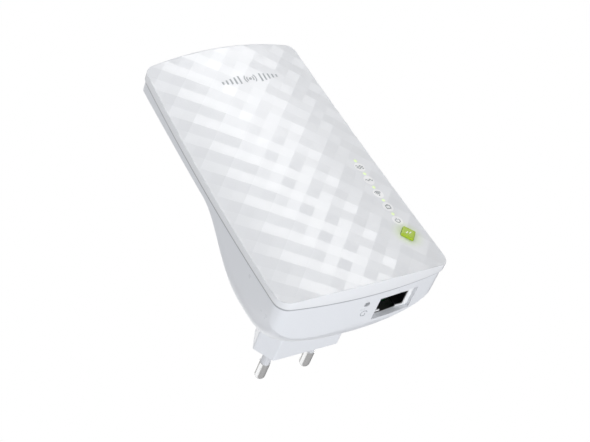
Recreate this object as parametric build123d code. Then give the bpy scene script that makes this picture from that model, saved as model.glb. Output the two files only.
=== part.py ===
"""Wall-plug wifi range extender: slim shells, a fixed two-pin plug, boards, socket and buttons.

Millimetres. +Z is up, +Y points at the wall, +X is the right of someone facing the front cover.
The origin is midway between the two pins, on the plug body's face that meets the wall socket.
"""
from build123d import *
from math import asin, cos, degrees, pi, sin, sqrt
import os

os.makedirs("parts", exist_ok=True)

# Overall sizes
overall_height = 110.0
overall_width = 65.8
body_depth = 55.2          # wall face of the plug body to the most forward point of the cover
top_width = 60.0           # the outline narrows towards the top
panel_centre_z = 33.4      # middle of the cover above the pins' axis

# Front cover
top_bow = 1.5              # rise of the top edge's arc
bottom_bow = 2.8
top_corner_r = 3.6
bottom_corner_r = 5.0
crown = 3.9                # rise of the front across its width
hollow = 1.5               # dip of the front along its height
skirt = 2.6                # height of the cover's side band
cover_wall = 1.7
edge_round = 0.35
lip_height = 2.2           # locating lip that reaches into the rear housing
lip_wall = 1.0
lip_clearance = 0.12
snap_out = 0.45            # how far a catch stands out of the lip
snap_gap = 0.2
snap_height = 0.8
snap_length = 6.0
snap_drop = 1.35           # a catch's middle below the seam

# Rear housing
seam_gap = 0.3
seam_step = 0.5            # the housing stands this far inside the cover's outline
housing_wall = 1.9
thin_back_y = -43.2        # back of the slim upper half
deep_back_y = -19.5        # back of the deep lower half
ramp_top_z = 36.0
ramp_bottom_z = 3.0
ramp_power = 1.2
end_round = 14.5           # rounding between the lower end and the back
thin_squareness = 16.0     # superellipse exponents of the horizontal sections
deep_squareness = 4.0
end_squareness = 2.0
section_steps = 9
side_overrun = 0.35        # sections run past the outline, which then trims the flat sides

# Plug body and pins
plug_width = 35.3
plug_flat = 26.1
plug_height = 13.7
plug_corner_r = 0.9
plug_clearance = 0.1
flange_edge = 1.5
flange_thick = 2.0
pin_spacing = 18.6
pin_length = 19.0
pin_r = 2.0
shank_r = 1.2
sleeve_r = 1.72
sleeve_length = 11.0
sleeve_seat = 3.0          # length of the sleeve held in the plug body
cup_depth = 0.9
fit_gap = 0.02

# Boards
board_thick = 1.0
board_inset = 4.3
board_front_y = -48.0
power_board_width = 40.0
power_board_bottom = -12.5
power_board_top = 9.5
power_board_thick = 1.6
power_board_y = -29.0      # face of the power board towards the wall
pin_tail = 1.3             # how far the pin's tail stands out of the power board

# Fasteners
screw_r = 1.0
screw_head_r = 1.8
screw_head_height = 1.1
screw_grip = 1.6           # thread length in the boss
boss_r = 2.2
main_screws = [(-23.0, 73.0), (23.0, 73.0), (-24.5, -11.5), (24.5, -11.5)]
power_screws = [(-16.5, -8.8), (16.5, -8.8)]

# Network socket
jack_width = 16.0
jack_height = 13.3
jack_length = 21.0
jack_x = 14.0
jack_face_z = -18.6
jack_clearance = 0.15
port_width = 12.0
port_height = 6.8
port_depth = 13.0
port_rise = 5.9            # port's near edge above the board
latch_width = 6.4
latch_height = 1.3
contact_pitch = 1.02
contact_count = 8
cutout_width = 15.8
cutout_front_y = -44.2
cutout_rear_y = -33.6

# Status lights and front button
light_x = 24.0
light_pitch = 6.3
first_light_z = 30.3
light_count = 5
light_hole_r = 1.0
light_window = 0.75        # plastic left in front of a light
guide_width = 2.4
guide_thick = 0.65
guide_clearance = 0.12
button_z = -4.4
button_side = 4.3
button_corner_r = 0.6
button_proud = 0.7
button_gap = 0.15
button_flange = 5.2
button_travel = 0.3
switch_side = 4.4
switch_height = 0.9
plunger_r = 1.0
plunger_gap = 0.1
rest_gap = 0.05            # between a cap and the plunger that it pushes

# Reset switch behind the pinhole
reset_x = 1.0
reset_y = -43.2
reset_hole_r = 1.1
reset_travel = 0.25

reset_body_low = -16.2
reset_body_high = -12.4
reset_body_side = 4.6
reset_plunger_r = 0.9
reset_plunger_low = -17.7
reset_bore_depth = 2.2

# Lights on the board and the pegs of their guide
led_height = 0.65
guide_peg_r = 0.6
guide_peg_offset = 3.4     # pegs stand this far past the first and the last light

# Pins that join the two boards
link_z = -9.6
link_r = 0.35
link_pitch = 2.0
link_count = 4

# Shield can and antennas
can_x, can_z = -3.0, 48.0
can_width, can_height, can_tall = 26.0, 21.0, 1.6
sheet = 0.2
antenna_sheet = 0.3
antenna_stand = 1.3
antenna_width = 20.0
antenna_x, antenna_z = 13.0, 78.0
lead_r = 0.5
lead_bend_r = 2.0

# Mains side
core_x, core_z = -11.5, 1.2
core_width, core_height, core_tall = 15.0, 14.0, 12.0
core_lift = 1.8            # the bobbin's feet hold the core off the board
core_limb = 3.0            # thickness of the core's outer limbs
post_side = 2.0
bobbin_gap = 0.1
bobbin_side = 4.35
choke_x, choke_z = 1.4, 5.6
choke_r, choke_waist_r, choke_tall, choke_flange = 2.6, 1.6, 7.0, 1.3
disc_x, disc_z = 0.2, -2.6
disc_r, disc_thick, disc_stand = 3.2, 2.4, 4.0
fuse_x, fuse_z = 9.4, -10.0
fuse_r, fuse_length, fuse_reach = 1.2, 6.4, 4.5
lead_side = 0.25

# Vents and label on the back
vent_count = 6
vent_length = 24.0
vent_width = 1.4
vent_pitch = 3.0
first_vent_z = 40.5
label_width = 30.0
label_height = 19.0
label_z = 72.0
label_thick = 0.15

# Worked out from the sizes above
panel_top = panel_centre_z + overall_height / 2
panel_bottom = panel_centre_z - overall_height / 2
edge_y = crown - body_depth                      # front edge at the top and bottom ends
apex_mid_y = hollow - body_depth                 # crown line at mid-height
seam_mid_y = edge_y + skirt + hollow             # seam at mid-height
crown_r = ((overall_width / 2) ** 2 + crown ** 2) / (2 * crown)
hollow_r = ((overall_height / 2) ** 2 + hollow ** 2) / (2 * hollow)
hollow_axis_y = seam_mid_y - hollow_r
end_z = panel_bottom + seam_step                 # lower end of the rear housing
board_back_y = board_front_y + board_thick
power_front_y = power_board_y - power_board_thick
lip_inset = seam_step + housing_wall + lip_clearance


def save(part, name):
    """Write one node."""
    export_step(part, f"parts/{name}.step")


def block(x0, x1, y0, y1, z0, z1):
    """Box between opposite corners."""
    centre = ((x0 + x1) / 2, (y0 + y1) / 2, (z0 + z1) / 2)
    return Pos(*centre) * Box(abs(x1 - x0), abs(y1 - y0), abs(z1 - z0))


def rod(x, y0, y1, z, radius):
    """Cylinder along Y."""
    plane = Plane(origin=(x, min(y0, y1), z), x_dir=(1, 0, 0), z_dir=(0, 1, 0))
    return extrude(plane * Circle(radius), abs(y1 - y0))


def upright(x, y, z0, z1, radius):
    """Cylinder along Z."""
    return extrude(Pos(x, y, z0) * Circle(radius), z1 - z0)


def wall_prism(face, y0, y1):
    """Face drawn in X and Z, extruded from y0 to y1."""
    plane = Plane(origin=(0, y1, 0), x_dir=(1, 0, 0), z_dir=(0, -1, 0))
    return extrude(plane * face, y1 - y0)


def half_width(z):
    """Half the outline's width at a height: a slight bulge that is widest at the bottom."""
    t = (z - panel_bottom) / overall_height
    bulge = 0.6 * 4 * t * (1 - t)
    return overall_width / 2 + (top_width - overall_width) / 2 * t + bulge


def outline(inset=0.0):
    """Cover outline in X and Z, moved inwards by an inset."""
    top = panel_top - inset
    bottom = panel_bottom + inset
    top_x = half_width(panel_top) - inset
    mid_x = half_width(panel_centre_z) - inset
    low_x = half_width(panel_bottom) - inset
    face = make_face([
        ThreePointArc((-top_x, top - top_bow), (0, top), (top_x, top - top_bow)),
        ThreePointArc((top_x, top - top_bow), (mid_x, panel_centre_z), (low_x, bottom + bottom_bow)),
        ThreePointArc((low_x, bottom + bottom_bow), (0, bottom), (-low_x, bottom + bottom_bow)),
        ThreePointArc((-low_x, bottom + bottom_bow), (-mid_x, panel_centre_z), (-top_x, top - top_bow)),
    ])
    face = fillet(face.vertices().sort_by(Axis.Y)[:2], max(bottom_corner_r - inset, 0.6))
    return fillet(face.vertices().sort_by(Axis.Y)[-2:], max(top_corner_r - inset, 0.6))


def column(inset, y0=-80.0, y1=20.0):
    """Outline extruded front to back."""
    return wall_prism(outline(inset), y0, y1)


def bend(face):
    """Sweep a mid-height section along the cover's lengthwise hollow."""
    axis = Axis((0, hollow_axis_y, panel_centre_z), (1, 0, 0))
    sweep = 2 * degrees(asin((overall_height / 2 + 6) / hollow_r))
    return revolve(face.rotate(axis, -sweep / 2), axis, sweep)


def bent_slab(y0, y1):
    """Layer between two surfaces that follow the lengthwise hollow, given at mid-height."""
    wide = overall_width / 2 + 5
    return bend(Pos(0, (y0 + y1) / 2, panel_centre_z) * Rectangle(2 * wide, y1 - y0))


def crowned(offset, back_y):
    """Solid behind the crowned front, moved forwards by an offset."""
    radius = crown_r + offset
    centre_y = apex_mid_y + crown_r
    wide = overall_width / 2 + 4
    side_y = centre_y - sqrt(radius ** 2 - wide ** 2)
    section = make_face([
        ThreePointArc((-wide, side_y), (0, centre_y - radius), (wide, side_y)),
        Line((wide, side_y), (wide, back_y)),
        Line((wide, back_y), (-wide, back_y)),
        Line((-wide, back_y), (-wide, side_y)),
    ])
    return bend(Pos(0, 0, panel_centre_z) * section)


def back_y(z):
    """Back surface of the rear housing at a height, without its end rounding."""
    s = (ramp_top_z - z) / (ramp_top_z - ramp_bottom_z)
    s = min(max(s, 0.0), 1.0) ** ramp_power
    return thin_back_y + (deep_back_y - thin_back_y) * s * s * (3 - 2 * s)


def hull_section(z, inset):
    """Horizontal section of the rear housing: straight in front, rounded behind."""
    low = end_z + inset
    radius = end_round - inset
    back = back_y(z + inset) - inset
    if z < low + radius:
        k = min((low + radius - z) / radius, 1.0)
        back -= radius * (1 - sqrt(1 - k * k))
    front = edge_y + skirt
    depth = back - front
    share = (back_y(z) - thin_back_y) / (deep_back_y - thin_back_y)
    power = thin_squareness + (deep_squareness - thin_squareness) * share ** 0.35
    if z < 0:
        power += (end_squareness - power) * (z / low) ** 2
    wide = half_width(z) - seam_step - inset + side_overrun
    half = [(wide * cos(t) ** (2 / power), front + depth * sin(t) ** (2 / power))
            for t in [pi / 2 * i / section_steps for i in range(1, section_steps)]]
    mirrored = [(-x, y) for x, y in reversed(half)]
    lid = [(-wide, front), (-wide, front - 6), (wide, front - 6), (wide, front)]
    return make_face(Polyline(*half, (0, back), *mirrored, *lid, close=True))


def hull(inset):
    """Solid inside the rear housing's surface, moved inwards by an inset."""
    low = end_z + inset
    radius = end_round - inset
    heights = [low + radius * share for share in (0.0, 0.03, 0.08, 0.16, 0.28, 0.44, 0.68, 1.0)]
    heights += [z for z in (-1.0, 4.0, 9.0, 14.0, 19.0, 24.0, 29.0, 33.5, 37.0)]
    heights += [48.0, 66.0, panel_top + 2 - inset]
    sections = [Pos(0, 0, low - 2) * hull_section(low, inset)]
    sections += [Pos(0, 0, z) * hull_section(z, inset) for z in heights]
    return loft(sections, ruled=True) & column(seam_step + inset)


def light_heights():
    return [first_light_z - i * light_pitch for i in range(light_count)]


def diamond(side, corner_r=0.0):
    """Square stood on its corner."""
    shape = RectangleRounded(side, side, corner_r) if corner_r else Rectangle(side, side)
    return Pos(light_x, button_z) * Rotation(0, 0, 45) * shape


def snap_places():
    """Centres of the snap catches on the two long sides."""
    return [(side, z) for side in (-1, 1) for z in (2.0, 36.0, 68.0)]


def snap(side, z, grow, out):
    """Catch on the lip's outside; its pocket is the same shape, grown."""
    lip_x = half_width(z) - lip_inset
    mid = seam_mid_y - hollow * ((z - panel_centre_z) / (overall_height / 2)) ** 2 + snap_drop
    high = snap_height / 2 + grow
    reach = snap_length / 2 + grow
    return block(side * (lip_x - 0.3), side * (lip_x + out), mid - high, mid + high, z - reach, z + reach)


def make_front_cover():
    """Crowned tray with a skirt, a locating lip, snap catches and the button's hole."""
    shell = crowned(0, seam_mid_y) & column(0)
    front_edges = [edge for edge in shell.edges()
                   if edge.center().Y < seam_mid_y - skirt / 2 and edge.length > 6]
    shell = fillet(front_edges, edge_round)
    shell -= crowned(-cover_wall, seam_mid_y + 5) & column(cover_wall)
    lip = column(lip_inset) - column(lip_inset + lip_wall)
    lip &= crowned(-cover_wall / 2, seam_mid_y + lip_height)
    lip -= block(jack_x - jack_width / 2 - 0.4, jack_x + jack_width / 2 + 0.4, seam_mid_y - 1, 0,
                 panel_bottom, jack_face_z + jack_length)
    shell += lip
    for side, z in snap_places():
        shell += snap(side, z, 0.0, snap_out)
    shell -= wall_prism(diamond(button_side + 2 * button_gap, button_corner_r + button_gap), -60, -40)
    window_y = apex_mid_y + crown_r - sqrt(crown_r ** 2 - light_x ** 2) + light_window
    for z in light_heights():
        shell -= rod(light_x, window_y, -40, z, light_hole_r)
    return shell, window_y


def make_rear_housing():
    """Bathtub shell with bosses, socket cut-out, reset pinhole, vents and label recess."""
    behind = bent_slab(seam_mid_y + seam_gap, 20)
    shell = (hull(0) & behind) - hull(housing_wall)
    boss_ends = hull(housing_wall / 2)
    for x, z in main_screws:
        shell += rod(x, board_back_y, deep_back_y, z, boss_r) & boss_ends
    for x, z in power_screws:
        shell += rod(x, power_board_y, deep_back_y, z, boss_r) & boss_ends
    for x, z in main_screws:
        shell -= rod(x, board_back_y, board_back_y + screw_grip + 0.4, z, screw_r + fit_gap)
    for x, z in power_screws:
        shell -= rod(x, power_board_y, power_board_y + screw_grip + 1.4, z, screw_r + fit_gap)
    for side, z in snap_places():
        shell -= snap(side, z, snap_gap, snap_out + snap_gap)
    shell -= column(seam_step + housing_wall) & bent_slab(seam_mid_y - 1, seam_mid_y + lip_height + 0.3)
    shell -= block(jack_x - jack_width / 2 - jack_clearance, jack_x + jack_width / 2 + jack_clearance,
                   edge_y, board_back_y + jack_height + jack_clearance,
                   jack_face_z - jack_clearance, jack_face_z + jack_length)
    shell -= wall_prism(plug_outline(flange_edge + 0.15), edge_y, deep_back_y - housing_wall)
    shell -= wall_prism(plug_outline(plug_clearance), deep_back_y - 8, 5)
    shell -= block(jack_x - cutout_width / 2, jack_x + cutout_width / 2,
                   cutout_front_y, cutout_rear_y, end_z - 5, jack_face_z + 1)
    shell -= upright(reset_x, reset_y, end_z - 5, end_z + 4, reset_hole_r)
    for i in range(vent_count):
        z = first_vent_z + i * vent_pitch
        slot = Pos(0, z) * SlotOverall(vent_length, vent_width)
        shell -= wall_prism(slot, thin_back_y - 4, thin_back_y + 2)
    shell -= block(-label_width / 2 - 0.2, label_width / 2 + 0.2, thin_back_y - 0.2, thin_back_y + 2,
                   label_z - label_height / 2 - 0.2, label_z + label_height / 2 + 0.2)
    return shell


def plug_outline(grow=0.0):
    """Six-sided outline of a flat two-pin plug, in X and Z."""
    wide, flat, high = plug_width / 2 + grow, plug_flat / 2 + grow / 2, plug_height / 2 + grow
    face = make_face(Polyline((wide, 0), (flat, high), (-flat, high), (-wide, 0),
                              (-flat, -high), (flat, -high), close=True))
    return fillet(face.vertices(), plug_corner_r)


def make_plug_body():
    """Insulating block that carries the pins, held by a flange inside the rear housing."""
    inner_y = deep_back_y - housing_wall - 0.05
    body = wall_prism(plug_outline(), inner_y - 0.5, 0)
    rim = [edge for edge in body.edges() if abs(edge.center().Y) < 0.01]
    body = fillet(rim, 0.5)
    body += wall_prism(plug_outline(flange_edge), inner_y - flange_thick, inner_y)
    for x in (-pin_spacing / 2, pin_spacing / 2):
        body -= rod(x, -sleeve_seat, 1, 0, sleeve_r + fit_gap)
        body -= rod(x, inner_y - flange_thick - 1, 1, 0, shank_r + fit_gap)
    return body


def make_pin(x):
    """Solid pin: round-nosed tip with a cup around the sleeve's end, and a slim shank."""
    cylinder_end = pin_length - pin_r
    pin = rod(x, sleeve_length - cup_depth, cylinder_end, 0, pin_r)
    pin += Pos(x, cylinder_end, 0) * Sphere(pin_r)
    pin -= rod(x, sleeve_length - cup_depth - 1, sleeve_length, 0, sleeve_r + fit_gap)
    return pin + rod(x, power_front_y - pin_tail, sleeve_length + 1, 0, shank_r)


def make_sleeve(x):
    """Insulating sleeve on the first part of the pin."""
    return (rod(x, -sleeve_seat, sleeve_length, 0, sleeve_r)
            - rod(x, -sleeve_seat - 1, sleeve_length + 1, 0, shank_r + fit_gap))


def make_solder(x):
    """Solder cone that joins a pin's tail to the power board."""
    plane = Plane(origin=(x, power_front_y, 0), x_dir=(1, 0, 0), z_dir=(0, -1, 0))
    cone = loft([plane * Circle(shank_r + 1.1), plane.offset(1.0) * Circle(shank_r + 0.25)])
    return cone - rod(x, power_front_y - 3, power_front_y + 1, 0, shank_r)


def screw(x, z, face_y, length):
    """Pan-head screw driven towards the wall, with a cross recess."""
    head = rod(x, face_y - screw_head_height, face_y, z, screw_head_r)
    head = fillet(head.edges().sort_by(Axis.Y)[:1], 0.4)
    body = head + rod(x, face_y, face_y + length, z, screw_r)
    for turn in (0, 90):
        cross = Pos(x, z) * Rotation(0, 0, turn) * Rectangle(2.0, 0.4)
        body -= wall_prism(cross, face_y - screw_head_height - 1, face_y - screw_head_height + 0.6)
    return body


def make_main_board():
    """Main circuit board behind the cover."""
    board = wall_prism(outline(board_inset), board_front_y, board_back_y)
    for x, z in main_screws:
        board -= rod(x, -60, -40, z, screw_r + 0.15)
    for x in link_places():
        board -= rod(x, -60, -40, link_z, link_r + 0.1)
    for z in guide_peg_heights():
        board -= rod(light_x, -60, -40, z, guide_peg_r + 0.1)
    return board


def make_power_board():
    """Mains board that the pins are soldered to."""
    half = power_board_width / 2
    board = block(-half, half, power_front_y, power_board_y, power_board_bottom, power_board_top)
    board = fillet(board.edges().filter_by(Axis.Y), 1.5)
    for x, z in power_screws:
        board -= rod(x, -40, -20, z, screw_r + 0.15)
    for x in (-pin_spacing / 2, pin_spacing / 2):
        board -= rod(x, -40, -20, 0, shank_r + 0.1)
    for x in link_places():
        board -= rod(x, -40, -20, link_z, link_r + 0.1)
    return board


def link_places():
    return [(i - (link_count - 1) / 2) * link_pitch for i in range(link_count)]


def guide_peg_heights():
    return [first_light_z + guide_peg_offset,
            first_light_z - light_pitch * (light_count - 1) - guide_peg_offset]


def make_jack():
    """Network socket body with its port and latch notch, open downwards."""
    front = board_back_y
    left, right = jack_x - jack_width / 2, jack_x + jack_width / 2
    body = block(left, right, front, front + jack_height, jack_face_z, jack_face_z + jack_length)
    body = fillet(body.edges().filter_by(Axis.Z), 0.4)
    near = front + port_rise
    body -= block(jack_x - port_width / 2, jack_x + port_width / 2, near, near + port_height,
                  jack_face_z - 1, jack_face_z + port_depth)
    body -= block(jack_x - latch_width / 2, jack_x + latch_width / 2, near + port_height - 0.1,
                  near + port_height + latch_height, jack_face_z - 1, jack_face_z + port_depth)
    return body


def make_contacts():
    """Eight sprung contacts that slope out of the port's far wall."""
    near = board_back_y + port_rise
    far = jack_face_z + port_depth
    profile = Polyline((near + 0.4, far), (near + 0.4, far - 9.6), (near + 2.6, far - 4.6),
                       (near + 2.9, far - 4.8), (near + 0.55, far - 10.6), (near + 0.1, far - 10.4),
                       (near + 0.1, far), close=True)
    strips = []
    for i in range(contact_count):
        x = jack_x + (i - (contact_count - 1) / 2) * contact_pitch
        plane = Plane(origin=(x - 0.2, 0, 0), x_dir=(0, 1, 0), z_dir=(1, 0, 0))
        strips.append(extrude(plane * make_face(profile), 0.4))
    return Compound(strips)


def make_light_guide(window_y):
    """Clear strip over the lights with a post into each window of the cover."""
    low = min(guide_peg_heights()) - 1.0
    high = max(guide_peg_heights()) + 1.0
    strip_back = board_front_y - led_height - 0.1
    guide = block(light_x - guide_width / 2, light_x + guide_width / 2,
                  strip_back - guide_thick, strip_back, low, high)
    for z in light_heights():
        guide += rod(light_x, window_y + 0.1, strip_back, z, light_hole_r - guide_clearance)
    for z in guide_peg_heights():
        guide += rod(light_x, strip_back, board_front_y, z, 1.0)
        guide += rod(light_x, board_front_y, board_back_y + 0.4, z, guide_peg_r)
    return guide


def make_leds():
    """Five small surface-mounted lights."""
    return Compound([block(light_x - 0.8, light_x + 0.8, board_front_y - led_height, board_front_y,
                           z - 0.4, z + 0.4) for z in light_heights()])


def make_button():
    """Square cap stood on its corner, with a flange behind the cover."""
    base_y = board_front_y - switch_height - (button_travel + rest_gap) - rest_gap
    cap = wall_prism(diamond(button_side, button_corner_r), -60, base_y) & crowned(button_proud, 0)
    top = cap.faces().sort_by(Axis.Y)[0]
    cap = fillet(top.edges(), 0.25)
    return cap + wall_prism(diamond(button_flange), base_y - 0.35, base_y)


def make_switch():
    """Low tactile switch under the front button, open at its plunger."""
    half = switch_side / 2
    body = block(light_x - half, light_x + half, board_front_y - switch_height, board_front_y,
                 button_z - half, button_z + half)
    return body - rod(light_x, board_front_y - switch_height - 1, board_front_y - 0.1, button_z,
                      plunger_r + plunger_gap)


def make_plunger():
    """Plunger of the front switch."""
    top = board_front_y - switch_height - (button_travel + rest_gap)
    return rod(light_x, top, board_front_y - 0.1 - button_travel - 0.05, button_z, plunger_r)


def make_reset_switch():
    """Right-angled tactile switch above the pinhole."""
    half = reset_body_side / 2
    body = block(reset_x - half, reset_x + half, board_back_y, reset_y + 1.9,
                 reset_body_low, reset_body_high)
    return body - upright(reset_x, reset_y, reset_body_low - 1, reset_body_low + reset_bore_depth,
                          reset_plunger_r + plunger_gap)


def make_reset_plunger():
    """Plunger of the reset switch, pointing down at the pinhole."""
    high = reset_body_low + reset_bore_depth - reset_travel - rest_gap
    return upright(reset_x, reset_y, reset_plunger_low, high, reset_plunger_r)


def on_back(x, z, wide, high, tall):
    """Chip on the wall side of the main board."""
    return block(x - wide / 2, x + wide / 2, board_back_y, board_back_y + tall, z - high / 2, z + high / 2)


def on_power(x, z, wide, high, tall):
    """Component on the front of the power board."""
    return block(x - wide / 2, x + wide / 2, power_front_y - tall, power_front_y, z - high / 2, z + high / 2)


def capacitor(x, z, radius, face_y, tip_y):
    """Electrolytic capacitor along Y with a crimped end."""
    can = rod(x, face_y, tip_y, z, radius)
    groove_y = face_y + (tip_y - face_y) * 0.12
    ring = rod(x, groove_y - 0.35, groove_y + 0.35, z, radius + 1)
    ring -= rod(x, groove_y - 1, groove_y + 1, z, radius - 0.25)
    return can - ring


def antenna(x):
    """Bent sheet-metal antenna that stands off the board on two legs."""
    left, right = x - antenna_width / 2, x + antenna_width / 2
    low, high = antenna_z - 2.5, antenna_z + 2.5
    top_y = board_front_y - antenna_stand
    strip = block(left, right, top_y, top_y + antenna_sheet, low, high)
    for leg_x in (left, left + 4.0):
        strip += block(leg_x, leg_x + 1.2, top_y, board_front_y, low, low + antenna_sheet)
    return strip - block(left + 6, right - 2, top_y - 1, top_y + 1, antenna_z - 0.5, antenna_z + 0.5)


def antenna_lead(x_from, x_to):
    """Thin coaxial lead: down the board, round one bend, across to the shield can."""
    y = board_back_y + lead_r + 0.1
    z_from, z_to = antenna_z - 6.0, can_z + 6.0
    path = FilletPolyline((x_from, y, z_from), (x_from, y, z_to), (x_to, y, z_to), radius=lead_bend_r)
    circle = Plane(origin=(x_from, y, z_from), z_dir=(0, 0, 1)) * Circle(lead_r)
    return sweep(circle, path)


def make_shield_can():
    """Tinned can over the radio chips, open towards the board."""
    can = on_back(can_x, can_z, can_width, can_height, can_tall)
    can = fillet(can.edges().filter_by(Axis.Y), 0.8)
    wide, high = can_width / 2 - sheet, can_height / 2 - sheet
    return can - block(can_x - wide, can_x + wide, board_back_y - 1, board_back_y + can_tall - sheet,
                       can_z - high, can_z + high)


def make_transformer():
    """Transformer core as a frame with a centre post, and the wound bobbin on its feet."""
    x, z = core_x, core_z
    wide, high = core_width / 2, core_height / 2
    base_y = power_front_y - core_lift
    top_y = base_y - core_tall
    core = block(x - wide, x + wide, top_y, base_y, z - high, z + high)
    core -= block(x - wide + core_limb, x + wide - core_limb, top_y + core_limb - 0.4, base_y + 1,
                  z - high - 1, z + high + 1)
    core += block(x - post_side, x + post_side, top_y + 1, base_y - 1.2,
                  z - post_side - 1, z + post_side + 1)
    winding = block(x - bobbin_side, x + bobbin_side, top_y + core_limb - 0.25, base_y,
                    z - high + 0.8, z + high - 0.8)
    winding = fillet(winding.edges().filter_by(Axis.Y), 1.2)
    hole = post_side + bobbin_gap
    winding -= block(x - hole, x + hole, top_y, base_y - 1.2 + bobbin_gap, z - hole - 1, z + hole + 1)
    for foot_x in (x - bobbin_side + 1, x + bobbin_side - 1):
        for foot_z in (z - high + 2.4, z + high - 2.4):
            winding += rod(foot_x, base_y - 1, power_front_y, foot_z, 0.4)
    return core, winding


def make_choke():
    """Drum-core choke on the power board."""
    base, top = power_front_y, power_front_y - choke_tall
    drum = rod(choke_x, base - choke_flange, base, choke_z, choke_r)
    drum += rod(choke_x, top, base, choke_z, choke_waist_r)
    return drum + rod(choke_x, top, top + choke_flange, choke_z, choke_r)


def make_suppressor():
    """Disc capacitor standing on the power board."""
    plane = Plane(origin=(disc_x, power_front_y - disc_stand, disc_z), x_dir=(0, 1, 0), z_dir=(1, 0, 0))
    disc = extrude(plane * Circle(disc_r), disc_thick)
    disc = fillet(disc.edges(), 0.9)
    for z in (disc_z - 1.8, disc_z + 1.8):
        disc += rod(disc_x + disc_thick / 2, power_front_y, power_front_y - disc_stand + 1.4, z, 0.3)
    return disc


def make_fuse():
    """Axial fusible resistor lying on the power board."""
    y = power_front_y - fuse_r - 0.15
    plane = Plane(origin=(fuse_x - fuse_length / 2, y, fuse_z), x_dir=(0, 1, 0), z_dir=(1, 0, 0))
    body = extrude(plane * Circle(fuse_r), fuse_length)
    body = fillet(body.edges(), 0.5)
    low, high = fuse_z - lead_side, fuse_z + lead_side
    for side in (-1, 1):
        inner_x = fuse_x + side * (fuse_length / 2 - 0.1)
        outer_x = fuse_x + side * fuse_reach
        body += block(inner_x, outer_x, y - lead_side, y + lead_side, low, high)
        body += block(outer_x - side * 2 * lead_side, outer_x, y - lead_side, power_front_y, low, high)
    return body


front_cover, window_y = make_front_cover()
save(front_cover, "front_cover")
save(make_rear_housing(), "rear_housing")
save(make_plug_body(), "plug_body")
for side, sign in (("left", -1), ("right", 1)):
    pin_x = sign * pin_spacing / 2
    save(make_pin(pin_x), f"plug_pin_{side}")
    save(make_sleeve(pin_x), f"pin_sleeve_{side}")
save(Compound([make_solder(-pin_spacing / 2), make_solder(pin_spacing / 2)]), "pin_solder_joints")
save(make_main_board(), "main_board")
save(make_power_board(), "power_board")
save(Compound([screw(x, z, board_front_y, board_thick + screw_grip) for x, z in main_screws]),
     "main_board_screws")
save(Compound([screw(x, z, power_front_y, power_board_thick + screw_grip + 1) for x, z in power_screws]),
     "power_board_screws")
save(Compound([rod(x, power_board_y + 1.0, board_front_y - 0.8, link_z, link_r) for x in link_places()]),
     "board_link_pins")
save(make_jack(), "ethernet_jack")
save(make_contacts(), "jack_contacts")
save(on_back(14.0, 12.5, 12.5, 7.0, 4.0), "network_transformer")
save(make_leds(), "status_leds")
save(make_light_guide(window_y), "light_guide")
save(make_button(), "front_button")
save(make_switch(), "button_switch")
save(make_plunger(), "button_plunger")
save(make_reset_switch(), "reset_switch")
save(make_reset_plunger(), "reset_plunger")
save(make_shield_can(), "shield_can")
save(on_back(-8.5, 48.0, 10.0, 10.0, 0.9), "network_processor")
save(on_back(4.0, 48.0, 7.0, 7.0, 0.9), "radio_chip")
save(on_back(16.0, 45.0, 6.0, 8.0, 1.3), "memory_chip")
save(on_back(-19.5, 41.0, 3.2, 2.5, 0.8), "clock_crystal")
save(Compound([capacitor(x, 15.0, 3.15, board_back_y, board_back_y + 7.7) for x in (-17.0, -9.0)]),
     "output_capacitors")
save(antenna(-antenna_x), "antenna_left")
save(antenna(antenna_x), "antenna_right")
save(antenna_lead(-19.0, can_x - can_width / 2 - 0.6), "antenna_lead_left")
save(antenna_lead(19.0, can_x + can_width / 2 + 0.6), "antenna_lead_right")
core, winding = make_transformer()
save(core, "transformer_core")
save(winding, "transformer_winding")
save(Compound([capacitor(x, 6.2, 3.1, power_front_y, power_front_y - 11.5) for x in (9.2, 16.4)]),
     "input_capacitors")
save(on_power(9.5, -5.0, 6.0, 4.6, 2.0), "bridge_rectifier")
save(make_choke(), "input_choke")
save(make_suppressor(), "suppression_capacitor")
save(make_fuse(), "fusible_resistor")
save(block(-2.5, 2.5, power_board_y, power_board_y + 1.5, -7.8, -3.6), "power_controller")
save(block(-24.0, 5.0, board_back_y + 1.3, board_back_y + 1.6, -8.2, 10.4), "insulation_sheet")
save(block(-label_width / 2, label_width / 2, thin_back_y - 0.2, thin_back_y - 0.2 + label_thick,
           label_z - label_height / 2, label_z + label_height / 2), "rating_label")
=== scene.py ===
"""Wifi range extender: detailed shells, printed marks, finishes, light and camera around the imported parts.

Metres. +Z is up, +Y points at the wall, +X is the right of someone facing the front cover. The origin is
midway between the two pins, on the plug body's face that meets the wall socket.
"""
from math import atan2, ceil, cos, hypot, pi, radians, sin, sqrt

import bmesh
import bpy
from bpy.props import FloatProperty, FloatVectorProperty, IntProperty, PointerProperty
from mathutils import Matrix, Vector


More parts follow.
